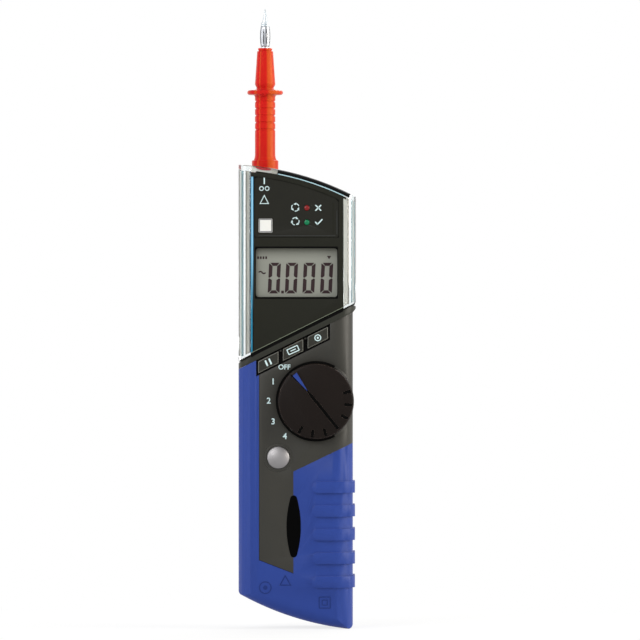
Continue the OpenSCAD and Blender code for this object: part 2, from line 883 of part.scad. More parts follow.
module front_cover() color("#3d3c36") difference() {
    union() {
        difference() {
            case_form();
            case_form(wall);
        }
        intersection() {
            case_form(fit_gap);
            rod_y(knob_x, knob_z, well_r + cup_t, front_y, cup_floor_y);
        }
        for (p = screw_points) rod_y(p[0], p[1], boss_r, inner_front_y - sink, boss_end_y(p));
        block(ball_x - detent_spring_l - detent_wall, ball_x + ball_r / 2,
            cup_floor_y - sink, ball_y + detent_half, knob_z - detent_half, knob_z + detent_half);
    }
    slab(part_y, far);
    above(shoulder_z - fit_gap);
    intersection() {
        grip_skin();
        front_grip_zone(over);
    }
    rod_y(knob_x, knob_z, well_r, front_y - over, front_y + well_d);
    rod_y(knob_x, knob_z, spindle_r + spindle_gap, front_y, cup_floor_y + over);
    detent_bore();
    rod_y(-electrode_x, electrode_z, ring_r + fit_gap, front_y - over, inner_front_y + over);
    for (p = screw_points) rod_y(p[0], p[1], insert_r + fit_gap, board_y - insert_l, board_rear_y + over);
    key_slot(fit_gap);
    com_hole();
    prism(front_y - over, front_y + grip_t) oval_outline(badge_gap);
}

// Bore for the detent's ball and spring, open towards the rotor
module detent_bore() {
    translate([ball_x - detent_spring_l, ball_y, knob_z]) rotate([0, 90, 0])
        cylinder(r = ball_r + ball_gap, h = detent_spring_l + 2 * ball_r);
}

module front_grip() color("#2c4591") difference() {
    union() {
        intersection() {
            grip_shell();
            front_grip_zone();
        }
        grip_ribs(-far / 2, part_y);
    }
    above(shoulder_z - fit_gap);
    key_slot(fit_gap);
    com_hole();
    prism(front_y - over, front_y + grip_t) oval_outline(badge_gap);
}

module rear_cover() color("#3d3c36") difference() {
    union() {
        difference() {
            case_form();
            case_form(wall);
        }
        bay_box(inner_rear_y + sink);
        for (p = screw_points) rod_y(p[0], p[1], boss_r, board_rear_y + fit_gap, inner_rear_y + sink);
        rod_y(body_cx, door_screw_z, boss_r, inner_rear_y - door_seat_l, inner_rear_y + sink);
    }
    difference() {
        slab(-far / 2, part_y + fit_gap);
        bay_box(part_y + over);
        for (p = screw_points) rod_y(p[0], p[1], boss_r, board_rear_y, part_y + over);
    }
    above(shoulder_z - fit_gap);
    intersection() {
        grip_skin();
        rear_grip_zone(over);
    }
    for (p = screw_points) {
        rod_y(p[0], p[1], screw_r + screw_gap, board_rear_y - over, rear_y + over);
        rod_y(p[0], p[1], screw_head_r + screw_gap, screw_seat_y, rear_y + over);
    }
    block(body_cx - bay_w / 2, body_cx + bay_w / 2, bay_y, rear_y + over, bay_z, bay_z + bay_l);
    prism(rear_y - door_t - fit_gap, rear_y + over) door_outline(door_gap);
    rod_y(body_cx, door_screw_z, door_screw_r + fit_gap, inner_rear_y - door_seat_l + over, rear_y + over);
    rod_y(body_cx, door_screw_z, door_boss_r + door_gap, door_boss_y - door_gap, rear_y + over);
    com_hole();
}

module rear_grip() color("#2c4591") difference() {
    union() {
        intersection() {
            grip_shell();
            rear_grip_zone(-fit_gap);
        }
        grip_ribs(part_y + fit_gap, rear_y - rear_edge_r);
    }
    above(shoulder_z - fit_gap);
    for (p = screw_points) rod_y(p[0], p[1], screw_head_r + screw_gap, screw_seat_y, rear_y + over);
    prism(rear_y - door_t - fit_gap, rear_y + over) door_outline(door_gap);
    com_hole();
}

module case_screws() color("#8a8a88") for (p = screw_points) {
    difference() {
        rod_y(p[0], p[1], screw_head_r, screw_seat_y + fit_gap, screw_seat_y + head_t);
        cross_recess(p[0], screw_seat_y + head_t, p[1], screw_head_r, 0);
    }
    rod_y(p[0], p[1], screw_r, board_y - insert_l + 2 * screw_gap, screw_seat_y + fit_gap);
}

module screw_inserts() color("#b08d48") for (p = screw_points) difference() {
    rod_y(p[0], p[1], insert_r, board_y - insert_l + fit_gap, board_y);
    rod_y(p[0], p[1], screw_r + thread_gap, board_y - insert_l, board_y + over);
}

// ---- Shoulder and hood ----

// Outline of the shoulder band in front view: its right end stands past the handle on a slant
module band_outline() {
    x0 = -case_w / 2;
    x1 = case_w / 2;
    polygon([[x0 - over, band_z(x0) - over], [body_right, band_z(body_right) - over],
        [body_right, band_z(body_right)], [x1, band_z(x1) + band_foot],
        [x1, band_z(x1) + band_h - band_nose], [x1 - band_nose, band_z(x1 - band_nose) + band_h],
        [x1 - band_nose, band_z(x1) + band_h + over], [x0 + band_nose, band_z(x0) + band_h + over],
        [x0 + band_nose, band_z(x0 + band_nose) + band_h], [x0, band_z(x0) + band_h - band_nose / 2],
        [x0 - over, band_z(x0) + band_h - band_nose / 2]]);
}

module shoulder_band() color("#45443e") difference() {
    union() {
        intersection() {
            linear_extrude(far) round_section(case_w, front_y, rear_y, front_edge_r, rear_edge_r);
            above(shoulder_z);
            below(band_top_z);
            prism(-far / 2, far / 2) band_outline();
        }
        intersection() {
            difference() {
                case_form(wall + spigot_gap);
                case_form(wall + spigot_gap + spigot_t);
            }
            above(shoulder_z - spigot_h);
            below(shoulder_z + sink);
            slab(board_rear_y + 2 * ribbon_t, far);
        }
    }
    intersection() {
        linear_extrude(far) round_section(case_w - 2 * band_step, front_y + band_front, rear_y - band_rear,
            band_corner_r, band_corner_r);
        above(shoulder_z - over);
    }
}

module hood_seal() color("#151514") intersection() {
    difference() {
        linear_extrude(far) round_section(case_w - 2 * seal_in, front_y + seal_in, rear_y - seal_in,
            hood_edge_r, hood_edge_r);
        prism(-far / 2, rear_y - hood_rear_t + seal_gap)
            translate([-module_w / 2 - seal_gap, 0]) square([module_w + 2 * seal_gap, far]);
    }
    above(band_top_z);
    below(hood_z);
}

module clear_hood() color("#dfe8e8", 0.35) difference() {
    hood_form();
    prism(-far / 2, rear_y - hood_rear_t) intersection() {
        translate([-case_w / 2 + hood_side_t, 0]) square([case_w - 2 * hood_side_t, far]);
        translate([-top_arc_x, top_arc_z]) circle(top_arc_r - hood_top_t, $fn = 256);
    }
    rod_z(-probe_x, probe_y, collar_r + collar_gap, input_low_z, hood_top + over);
    for (side = [-1, 1]) prism(part_y - snap_d / 2, part_y + snap_d / 2)
        translate([side * (case_w / 2 - snap_in) - snap_w / 2,
            band_z(side * (case_w / 2 - snap_in)) + band_h + snap_rise]) square([snap_w, snap_h]);
}

// Outline of the edge strip, or of its pocket where gap is 0
module strip_outline(gap) {
    translate([-module_w / 2 - over, 0]) square([strip_w + over - gap, strip_top_z - gap]);
}

module edge_strip() color("#4fa6cf") prism(front_y + fit_gap, front_y + strip_d) intersection() {
    module_outline(fit_gap);
    strip_outline(fit_gap);
}

// ---- Display module ----

// Wall round the probe socket, inside the module
module socket_holder(y0, y1) {
    intersection() {
        rod_z(-probe_x, probe_y, jack_body_r + socket_wall, input_low_z + socket_hold, hood_top);
        prism(y0, y1) module_outline();
    }
}

// Way of the ribbon through the module's lower end
module ribbon_way(y0, y1) {
    side = ribbon_w / 2 + over;
    block(-side, side, y0, y1, band_z(-ribbon_w), band_top_z + ribbon_lap + 2 * over);
}

module display_housing() color("#31312d") difference() {
    prism(front_y, module_split_y) module_outline();
    difference() {
        prism(front_y + bezel_t, module_split_y + over) module_outline(module_t);
        for (p = display_screw_points) rod_y(p[0], p[1], post_r, board_rear_y + fit_gap, module_split_y);
        socket_holder(front_y, module_split_y);
    }
    prism(front_y - over, front_y + strip_d) strip_outline(0);
    prism(front_y - over, front_y + bezel_t + over) lcd_window();
    prism(front_y - over, front_y + plate_t) plate_outline(badge_gap);
    lamp_holes();
    rod_z(-probe_x, probe_y, jack_body_r + fit_gap, input_low_z, hood_top);
    for (p = display_screw_points) rod_y(p[0], p[1], post_hole_r, board_rear_y - over, module_split_y + over);
    ribbon_way(board_y - over, module_split_y + over);
}

// Holes for both lamps through the module's face
module lamp_holes() {
    for (z = lamp_heights)
        rod_y(lamp_x, z, lamp_d / 2 + lamp_hole_gap, front_y - over, front_y + bezel_t + over);
}

module lcd_window(lap = 0) {
    translate([lcd_cx - lcd_w / 2 - lap, lcd_z - lap]) square([lcd_w + 2 * lap, lcd_h + 2 * lap]);
}

module plate_outline(gap = 0) {
    intersection() {
        translate([plate_x - gap, plate_z - gap]) square([plate_w + 2 * gap, far]);
        translate([-top_arc_x, top_arc_z]) circle(top_arc_r - hood_top_t - plate_margin + gap, $fn = 256);
    }
}

module display_back() color("#262623") difference() {
    prism(module_split_y + fit_gap, module_rear_y) module_outline();
    difference() {
        prism(module_split_y - over, module_rear_y - back_rear_t) module_outline(back_t);
        for (p = display_screw_points) rod_y(p[0], p[1], post_r, module_split_y, module_rear_y);
        socket_holder(module_split_y, module_rear_y);
    }
    rod_z(-probe_x, probe_y, jack_body_r + fit_gap, input_low_z, hood_top);
    for (p = display_screw_points) {
        rod_y(p[0], p[1], post_hole_r + 2 * badge_gap, module_split_y - over, module_rear_y + over);
        rod_y(p[0], p[1], post_head_r + screw_gap, module_rear_y - post_head_d, module_rear_y + over);
    }
    for (i = [0:vent_count - 1]) block(-module_w / 2 + vent_margin, module_w / 2 - vent_margin,
        module_rear_y - vent_d, module_rear_y + over,
        lcd_z + vent_rise + i * vent_pitch, lcd_z + vent_rise + i * vent_pitch + vent_w);
    ribbon_way(module_split_y - over, module_rear_y - 2 * vent_rise);
}

module display_screws() color("#8a8a88") for (p = display_screw_points) {
    difference() {
        rod_y(p[0], p[1], post_head_r, module_rear_y - post_head_d + fit_gap, module_rear_y - post_top);
        cross_recess(p[0], module_rear_y - post_top, p[1], post_head_r, 45);
    }
    rod_y(p[0], p[1], post_hole_r - thread_gap, board_rear_y + screw_gap,
        module_rear_y - post_head_d + fit_gap);
}

module legend_plate() color("#2d2e2b") difference() {
    prism(front_y + fit_gap, front_y + plate_t - fit_gap) plate_outline();
    lamp_holes();
    prism(front_y - over, front_y + badge_t) badge_outline(badge_gap);
}

module badge_outline(gap = 0) {
    translate([plate_x + badge_in - gap, plate_z + badge_rise - gap]) square(badge_side + 2 * gap);
}

module square_badge() color("#e9e9e6") prism(front_y - fit_gap, front_y + badge_t - fit_gap) badge_outline();

module oval_badge() color("#050606") prism(front_y - oval_proud, front_y + grip_t - fit_gap) oval_outline();

module lcd_glass() color("#a3a49d") prism(glass_y, glass_y + lcd_t) lcd_window(lcd_lap);

module lcd_backlight() color("#e4e6e0") difference() {
    prism(light_y, light_y + light_t) lcd_window(-light_in);
    for (side = [-1, 1]) rod_y(lcd_cx + side * (lcd_w / 2 - led_in), lcd_z + lcd_h / 2, led_r,
        light_y + light_t - led_d, light_y + light_t + over);
}

module zebra_strips() color("#d58fa0")
    for (z = [lcd_z - lcd_lap + zebra_in, lcd_z + lcd_h + lcd_lap - zebra_in - zebra_w])
        block(lcd_cx - lcd_w / 2 + zebra_end, lcd_cx + lcd_w / 2 - zebra_end,
            light_y, board_y, z, z + zebra_w);

// A lamp: its lens in the face and its body on the board
module lamp(z) {
    rod_y(lamp_x, z, lamp_d / 2, front_y - lamp_proud, board_y - lamp_flange_t);
    rod_y(lamp_x, z, lamp_d / 2 + lamp_flange, board_y - lamp_flange_t, board_y);
}

module fault_lamp() color("#5b1e19") lamp(lamp_heights[1]);

module ok_lamp() color("#045a3d") lamp(lamp_heights[0]);

module display_board() color("#1f5a38") difference() {
    prism(board_y, board_rear_y) module_outline(module_t + display_board_gap);
    for (p = display_screw_points)
        rod_y(p[0], p[1], post_hole_r + badge_gap, board_y - over, board_rear_y + over);
}

module ribbon_link() color("#c98a35")
    block(-ribbon_w / 2, ribbon_w / 2, board_rear_y, board_rear_y + ribbon_t,
        shoulder_z - board_drop - ribbon_lap, band_top_z + ribbon_lap);

// ---- Boards and what is on them ----

module main_board() color("#1f5a38") difference() {
    intersection() {
        case_form(wall + board_in);
        block(-far / 2, far / 2, board_y, board_rear_y, board_low_z, far);
        below(shoulder_z - board_drop);
    }
    for (p = screw_points) rod_y(p[0], p[1], screw_r + screw_gap, board_y - over, board_rear_y + over);
    rod_y(knob_x, knob_z, shaft_r + shaft_gap, board_y - over, board_rear_y + over);
}

module controller_chip() color("#1c1c1c") {
    block(chip_right - chip_w, chip_right, board_rear_y, board_rear_y + chip_t, chip_z, chip_z + chip_h);
    for (x = [chip_right - chip_w - pin_l, chip_right], i = [0:pin_count - 1])
        block(x, x + pin_l, board_rear_y, board_rear_y + pin_t, pin_z(i), pin_z(i) + pin_w);
}

module input_resistors() color("#7fb4c8") for (i = [-1:1])
    translate([i * resistor_pitch, board_rear_y + resistor_r + resistor_gap, board_low_z + resistor_rise]) {
        cylinder(r = resistor_r, h = resistor_l);
        translate([0, 0, -wire_l]) cylinder(r = wire_r, h = resistor_l + 2 * wire_l);
        for (z = [-wire_l, resistor_l + wire_l - 2 * wire_r])
            translate([-wire_r, -resistor_r - resistor_gap, z])
                cube([2 * wire_r, resistor_r + resistor_gap, 2 * wire_r]);
    }

module thermistor() color("#c9b35a") {
    rod_y(thermistor_x, thermistor_z, thermistor_r, board_rear_y + thermistor_stand,
        board_rear_y + thermistor_stand + thermistor_t);
    for (side = [-1, 1]) rod_y(thermistor_x + side * (thermistor_r - 2 * wire_r), thermistor_z, wire_r,
        board_rear_y, board_rear_y + thermistor_stand);
}

module buzzer() color("#1a1a1c") difference() {
    rod_y(buzzer_x, buzzer_z, buzzer_r, board_rear_y, board_rear_y + buzzer_t);
    rod_y(buzzer_x, buzzer_z, buzzer_hole_r, board_rear_y + buzzer_t - buzzer_hole_d,
        board_rear_y + buzzer_t + over);
}

// ---- Keys ----

module key_frame() color("#0d0d0d") difference() {
    intersection() {
        key_slot();
        slab(key_frame_y, key_frame_rear_y);
        below(shoulder_z - fit_gap);
    }
    for (i = [0:2]) prism(front_y - over, inner_front_y + over) key_outline(i, key_gap);
}

module key(index) {
    prism(key_top_y, key_flange_y) key_outline(index);
    prism(key_flange_y, key_base_y) key_outline(index, key_flange);
}

module left_key() color("#3a3a35") key(0);

module middle_key() color("#3a3a35") key(1);

module right_key() color("#3a3a35") key(2);

module keypad_membrane() color("#55565a") {
    prism(sheet_y, sheet_y + sheet_t) sloped(key_x(0) - sheet_margin, key_x(2) + key_w + sheet_margin,
        -key_slot_margin - key_h - 2 * sheet_margin, -key_slot_margin);
    for (i = [0:2]) {
        prism(pad_y, sheet_y) key_outline(i, -pad_in);
        rod_y(key_centre_x(i), key_centre_z(i), plunger_r, sheet_y + sheet_t, switch_y - pad_gap);
    }
}

module key_switches() color("#b9b9b4") for (i = [0:2]) translate([key_centre_x(i), 0, key_centre_z(i)])
    block(-switch_w / 2, switch_w / 2, switch_y, board_y, -switch_w / 2, switch_w / 2);

// ---- Selector ----

// Turns its children about the knob's axis, counter-clockwise as seen from the front
module rotate_about_knob(a) {
    translate([knob_x, 0, knob_z]) rotate([0, -a, 0]) translate([-knob_x, 0, -knob_z]) children();
}

module selector_knob() color("#2b2524") difference() {
    union() {
        translate([knob_x, 0, knob_z]) rotate([90, 0, 0]) rotate_extrude($fn = 128) polygon([
            [0, -front_y - well_d + rotor_gap], [knob_r, -front_y - well_d + rotor_gap],
            [knob_r, knob_proud - front_y - knob_edge],
            [knob_r - soft_side * knob_edge, knob_proud - front_y - soft_face * knob_edge],
            [knob_r - knob_edge, knob_proud - front_y], [0, knob_proud - front_y]]);
        rod_y(knob_x, knob_z, spindle_r, front_y, rotor_y - fit_gap);
        rod_y(knob_x, knob_z, shaft_r, front_y, board_rear_y + shaft_end);
    }
    translate([knob_x, front_y - knob_proud, knob_z]) rotate([0, -off_angle, 0]) {
        prism(-over, line_depth) polygon([
            [tail_end - knob_r, -tail_w / 2], [tail_end - knob_r, tail_w / 2],
            [pointer_in - tail_taper, tail_w / 2], [pointer_in, line_w / 2],
            [knob_r - line_end, line_z], [knob_r - line_end, line_z - line_w],
            [knob_r - pointer_end - line_w, pointer_z - line_w / 2],
            [pointer_in, -line_w / 2], [pointer_in - tail_taper, -tail_w / 2]]);
        for (i = [1:notch_count], side = [-1, 1]) rotate([0, 180 + side * i * notch_angle, 0])
            translate([knob_r - notch_in, -over, -notch_w / 2]) cube([notch_l, notch_w + over, notch_w]);
    }
    pointer_form(fit_gap, over);
    difference() {
        rod_y(knob_x, knob_z, shaft_r + over, clip_y - fit_gap, clip_y + clip_t + fit_gap);
        rod_y(knob_x, knob_z, shaft_r - groove_depth, clip_y - over, clip_y + clip_t + over);
    }
}

// Wedge that fills the pointer's pocket; grow widens it, proud raises its top
module pointer_form(grow, proud) {
    x0 = pointer_in - grow;
    x1 = knob_r - pointer_end + grow;
    translate([knob_x, 0, knob_z]) rotate([0, -off_angle, 0])
        prism(front_y - knob_proud - proud, front_y - knob_proud + line_depth + grow)
            polygon([[x0, pointer_tip_w / 2 + grow], [x1, pointer_z + grow],
                [x1, pointer_z - pointer_w - grow], [x0, -pointer_tip_w / 2 - grow]]);
}

module pointer_insert() color("#2c4591") pointer_form(0, -fit_gap);

module selector_rotor() color("#d8d4c8") difference() {
    rod_y(knob_x, knob_z, rotor_r, rotor_y, rotor_y + rotor_t);
    rod_y(knob_x, knob_z, shaft_r + fit_gap, rotor_y - over, rotor_y + rotor_t + over);
    for (i = [0:positions - 1]) rotate_about_knob(180 - i * step_angle)
        rod_y(knob_x + rotor_r + detent_cut_out, knob_z, detent_cut_r, rotor_y - over,
            rotor_y + rotor_t + over);
}

module rotor_contacts() color("#c08a4a") for (a = [60, 180, 300]) rotate_about_knob(a)
    translate([knob_x + rotor_r - wiper_in, rotor_y + rotor_t, knob_z - wiper_w / 2]) {
        cube([wiper_l, wiper_t, wiper_w]);
        for (z = [finger_gap, wiper_w - finger_gap - finger_w]) translate([0, wiper_t, z])
            cube([finger_t, board_y - rotor_y - rotor_t - wiper_t - finger_gap, finger_w]);
    }

module rotor_clip() color("#707478") difference() {
    rod_y(knob_x, knob_z, clip_r, clip_y, clip_y + clip_t);
    rod_y(knob_x, knob_z, shaft_r - groove_depth + fit_gap, clip_y - over, clip_y + clip_t + over);
    block(knob_x - clip_mouth / 2, knob_x + clip_mouth / 2, clip_y - over, clip_y + clip_t + over,
        knob_z - 2 * clip_r, knob_z);
}

module detent_ball() color("#c9ccd0") translate([ball_x, ball_y, knob_z]) sphere(ball_r);

module detent_spring() color("#a8acb0") translate([ball_x - ball_r + thread_gap, ball_y, knob_z])
    rotate([0, -90, 0])
        coil(detent_coil_r, detent_coil_r, detent_wire_r, detent_spring_l - ball_r - ball_gap, detent_turns);

// ---- Touch electrode ----

module touch_electrode() color("#cfcfd1") {
    dome_r = (pow(electrode_d / 2, 2) + pow(dome_proud, 2)) / (2 * dome_proud);
    intersection() {
        translate([-electrode_x, front_y - dome_proud + dome_r, electrode_z]) sphere(dome_r, $fn = 128);
        rod_y(-electrode_x, electrode_z, electrode_d / 2, front_y - 2 * dome_proud,
            dome_flange_y + dome_flange_t / 2);
    }
    translate([-electrode_x, dome_flange_y, electrode_z]) rotate([-90, 0, 0]) {
        cylinder(r = electrode_d / 2 + dome_flange, h = dome_flange_t);
        cylinder(r = dome_stub_r, h = dome_flange_t + dome_stub_l);
    }
}

module electrode_ring() color("#3d3c36") difference() {
    rod_y(-electrode_x, electrode_z, ring_r, front_y - ring_proud, inner_front_y - 2 * fit_gap);
    rod_y(-electrode_x, electrode_z, electrode_d / 2 + ring_gap, front_y - over, inner_front_y + over);
}

module electrode_spring() color("#a8acb0") translate([-electrode_x, board_y, electrode_z]) rotate([90, 0, 0])
    coil(electrode_coil_r, electrode_coil_r, electrode_wire_r,
        board_y - dome_flange_y - dome_flange_t - electrode_travel - fit_gap, electrode_turns);

// ---- Sockets ----

module com_sleeve() color("#b08d48") {
    difference() {
        rod_z(-com_x, com_y, jack_sleeve_r, com_sleeve_z, com_top_z);
        rod_z(-com_x, com_y, jack_r, com_sleeve_z - over, com_sleeve_z + jack_len);
    }
    rod_z(-com_x, com_y, tail_r, com_top_z, com_top_z + tail_l);
}

module com_insulator() color("#141414") difference() {
    intersection() {
        rod_z(-com_x, com_y, jack_body_r, 0, com_top_z);
        case_form();
    }
    rod_z(-com_x, com_y, jack_well_r, -over, com_top_z - insulator_stop);
    rod_z(-com_x, com_y, jack_sleeve_r + fit_gap, 0, com_top_z + over);
}

module com_lead() color("#c77b3b") {
    y = com_y + tail_r;
    block(-com_x - lead_w / 2, -com_x + lead_w / 2, y + fit_gap, y + lead_t, com_top_z + sink,
        board_low_z + lead_foot + lead_t);
    block(-com_x - lead_w / 2, -com_x + lead_w / 2, board_rear_y, y + lead_t, board_low_z + lead_foot,
        board_low_z + lead_foot + lead_t);
}

module input_sleeve() color("#b08d48") {
    difference() {
        rod_z(-probe_x, probe_y, jack_sleeve_r, input_low_z, input_top_z);
        rod_z(-probe_x, probe_y, jack_r, input_top_z - jack_len, input_top_z + over);
    }
    rod_z(-probe_x, probe_y, tail_r, input_low_z - tail_l, input_low_z);
}

module input_insulator() color("#141414") difference() {
    rod_z(-probe_x, probe_y, jack_body_r, input_low_z, input_top_z);
    rod_z(-probe_x, probe_y, jack_sleeve_r + fit_gap, input_low_z - over, input_top_z + over);
}

module input_lead() color("#c77b3b") {
    y = probe_y - tail_r;
    z = input_low_z - input_lead_l;
    block(-probe_x - lead_w / 2, -probe_x + lead_w / 2, y - lead_t, y - fit_gap, z, input_low_z - sink);
    block(-probe_x - lead_w / 2, -probe_x + lead_w / 2, board_rear_y, y - fit_gap, z, z + lead_t);
}

// ---- Probe ----

module probe_handle() color("#d3202a") translate([-probe_x, probe_y, 0]) difference() {
    rotate_extrude() polygon([
        [0, collar_z], [collar_r, collar_z],
        [collar_r, collar_top_z - collar_edge], [collar_r - collar_edge, collar_top_z],
        [handle_r + flare, collar_top_z], [handle_r, collar_top_z + flare_l],
        [handle_r, guard_z - 2 * flare], [handle_r + flare, guard_z], [guard_r - guard_edge, guard_z],
        [guard_r, guard_z + guard_edge], [guard_r, guard_z + guard_t - guard_edge],
        [guard_r - guard_edge, guard_z + guard_t], [handle_r - waist, waist_z], [handle_r, taper_z],
        [handle_r - handle_taper, lip_z - lip_gap], [rod_r + 1.2, lip_z - lip_gap], [rod_r + 1.2, lip_z],
        [rod_r + 1.2 + handle_lip, lip_z], [rod_r + 1.2 + handle_lip, handle_top_z], [0, handle_top_z]]);
    for (i = [0:groove_count - 1]) translate([0, 0, groove_top_z - i * groove_pitch]) rotate_extrude()
        translate([handle_r + groove_r - groove_d, 0]) circle(groove_r, $fn = 24);
    translate([0, 0, collar_z - over]) cylinder(r = rod_r + thread_gap, h = far);
}

module probe_rod() color("#9a9ea2") translate([-probe_x, probe_y, 0]) rotate_extrude() polygon([
    [0, collar_z - plug_l], [plug_r - plug_edge, collar_z - plug_l],
    [plug_r, collar_z - plug_l + 2 * plug_edge], [plug_r, collar_z],
    [rod_r, collar_z], [rod_r, lantern_z], [neck_r, lantern_z], [neck_r, needle_z],
    [bead_r, needle_z], [bead_r, needle_z + 0.35 * bead_l], [bead_r - 0.25, needle_z + 0.45 * bead_l],
    [bead_r - 0.05, needle_z + 0.6 * bead_l], [bead_r - 0.15, needle_z + 0.9 * bead_l],
    [neck_r, needle_z + bead_l], [tip_r, needle_z + needle_l], [0, needle_z + needle_l]]);

// Barrel-shaped outline of the lantern contact, drawn in by inset
module lantern_outline(inset, end_gap) {
    intersection() {
        translate([0, lantern_z + end_gap]) square([lantern_r + over, lantern_l - 2 * end_gap]);
        translate([lantern_r - inset - lantern_arc_r, lantern_z + lantern_l / 2])
            circle(lantern_arc_r, $fn = 128);
    }
}

module lantern_spring() color("#c4c8cc") translate([-probe_x, probe_y, 0]) difference() {
    rotate_extrude() difference() {
        lantern_outline(0, fit_gap);
        translate([0, lantern_z - over]) square([neck_r + fit_gap, lantern_l + 2 * over]);
    }
    rotate_extrude() lantern_outline(leaf_t, over);
    for (i = [0:slit_count - 1]) rotate([0, 0, (i + 0.5) * 360 / slit_count])
        translate([neck_r, -slit_w / 2, lantern_z + slit_end])
            cube([lantern_r, slit_w, lantern_l - 2 * slit_end]);
}

// ---- Battery ----

// Places its children at the axis of the left or the right cell
module at_cell(side) {
    translate([body_cx + side * (cell_d + cell_gap) / 2, cell_y, 0]) children();
}

module battery_cells() color("#5a5c60") for (side = [-1, 1]) at_cell(side) {
    base = side < 0 ? bay_z + contact_t + cell_spring_l : bay_z + contact_t;
    body_z = side < 0 ? base : base + nub_l;
    nub_z = side < 0 ? base + cell_l - nub_l : base;
    translate([0, 0, body_z]) cylinder(r = cell_d / 2, h = cell_l - nub_l);
    translate([0, 0, nub_z]) cylinder(r = nub_r, h = nub_l);
}

module battery_springs() color("#b9bcc0") {
    at_cell(-1) translate([0, 0, bay_z + contact_t]) cell_spring();
    at_cell(1) translate([0, 0, bay_z + bay_l - contact_t]) mirror([0, 0, 1]) cell_spring();
}

module cell_spring() {
    coil(cell_spring_r, cell_tip_r, cell_wire_r, cell_spring_l - fit_gap, cell_turns);
}

module battery_plates() color("#b9bcc0") for (z = [bay_z, bay_z + bay_l - contact_t], side = [-1, 1])
    at_cell(side) block(-contact_w / 2, contact_w / 2, -contact_w / 2, contact_w / 2, z, z + contact_t);

module battery_door() color("#36352f") difference() {
    union() {
        prism(rear_y - door_t, rear_y) door_outline();
        prism(rear_y - door_t - door_rim_d, rear_y - door_t) difference() {
            door_rim(door_gap);
            door_rim(door_gap + door_rim_t);
        }
        rod_y(body_cx, door_screw_z, door_boss_r, door_boss_y, rear_y - door_t);
    }
    rod_y(body_cx, door_screw_z, door_screw_r + door_gap, door_boss_y - over, rear_y + over);
    rod_y(body_cx, door_screw_z, door_head_r + door_gap, rear_y - door_head_d, rear_y + over);
    for (i = [0:thumb_count - 1])
        translate([body_cx - thumb_l / 2, rear_y - thumb_d, thumb_z + i * thumb_pitch])
            cube([thumb_l, thumb_d + over, thumb_w]);
}

// Outline of the bay's mouth, drawn in by inset
module door_rim(inset) {
    translate([body_cx - bay_w / 2 + inset, bay_z + inset]) square([bay_w - 2 * inset, bay_l - 2 * inset]);
}

module door_screw() color("#8a8a88") difference() {
    union() {
        rod_y(body_cx, door_screw_z, door_head_r, rear_y - door_head_d + fit_gap, rear_y - 2 * fit_gap);
        rod_y(body_cx, door_screw_z, door_screw_r, inner_rear_y - door_seat_l + 1.5 * over,
            rear_y - door_head_d + fit_gap);
    }
    translate([body_cx, rear_y - 2 * fit_gap, door_screw_z]) rotate([0, 30, 0])
        cube([door_slot_w, 2 * door_slot_d, 3 * door_head_r], center = true);
}

front_cover();
front_grip();
rear_cover();
rear_grip();
case_screws();
screw_inserts();
shoulder_band();
hood_seal();
clear_hood();
edge_strip();
display_housing();
display_back();
display_screws();
legend_plate();
square_badge();
oval_badge();
lcd_glass();
lcd_backlight();
zebra_strips();
fault_lamp();
ok_lamp();
display_board();
ribbon_link();
main_board();
controller_chip();
input_resistors();
thermistor();
buzzer();
key_frame();
keypad_membrane();
key_switches();
left_key();
middle_key();
right_key();
selector_knob();
pointer_insert();
selector_rotor();
rotor_contacts();
rotor_clip();
detent_ball();
detent_spring();
touch_electrode();
electrode_ring();
electrode_spring();
com_sleeve();
com_insulator();
com_lead();
input_sleeve();
input_insulator();
input_lead();
probe_handle();
probe_rod();
lantern_spring();
battery_cells();
battery_springs();
battery_plates();
battery_door();
door_screw();
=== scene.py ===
"""Visual model of a slim handheld tester: clear hood, selector knob, press keys and a plug-in probe.

All sizes in the classes are millimetres in the frame of the solids: +X to the right, +Y to the
rear and +Z towards the tip of the probe. Meshes are turned to metres when a piece is finished.
"""

import json
import logging
import math
from dataclasses import dataclass
from enum import Enum
from typing import Iterable, Mapping, Optional, Sequence

import bmesh
import bpy
from mathutils import Matrix, Vector


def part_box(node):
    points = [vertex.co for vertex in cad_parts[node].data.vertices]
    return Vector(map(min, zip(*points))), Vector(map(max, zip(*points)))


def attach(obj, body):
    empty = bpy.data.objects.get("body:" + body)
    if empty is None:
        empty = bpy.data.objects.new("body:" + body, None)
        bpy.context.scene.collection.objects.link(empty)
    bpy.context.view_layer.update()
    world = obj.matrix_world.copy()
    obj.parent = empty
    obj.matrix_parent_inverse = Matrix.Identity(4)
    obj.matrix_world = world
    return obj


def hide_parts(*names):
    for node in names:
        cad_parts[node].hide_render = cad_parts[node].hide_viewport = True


LOG = logging.getLogger("tester")
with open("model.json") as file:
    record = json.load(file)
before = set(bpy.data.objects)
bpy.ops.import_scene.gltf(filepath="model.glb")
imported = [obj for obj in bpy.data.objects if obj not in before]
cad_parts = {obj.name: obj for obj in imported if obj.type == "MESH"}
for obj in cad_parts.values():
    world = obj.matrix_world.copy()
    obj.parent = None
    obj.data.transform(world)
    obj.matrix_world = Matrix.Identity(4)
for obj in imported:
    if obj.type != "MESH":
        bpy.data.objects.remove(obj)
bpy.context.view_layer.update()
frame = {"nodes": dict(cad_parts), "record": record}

# One millimetre in metres
MM = 0.001
# Thickness in millimetres of a painted shadow line, of a film, of ink and of a heavier print; painted shade
# and reflections take these too
HAIR_T, FILM_T, INK_T, PRINT_T = 0.01, 0.02, 0.03, 0.04
# A noise texture stays between these values nearly everywhere
NOISE_SPAN = {"From Min": 0.3, "From Max": 0.7}

Point = tuple[float, float]
Triple = tuple[float, float, float]
Quad = tuple[float, float, float, float]
Piece = bpy.types.Object
Mesh = bmesh.types.BMesh


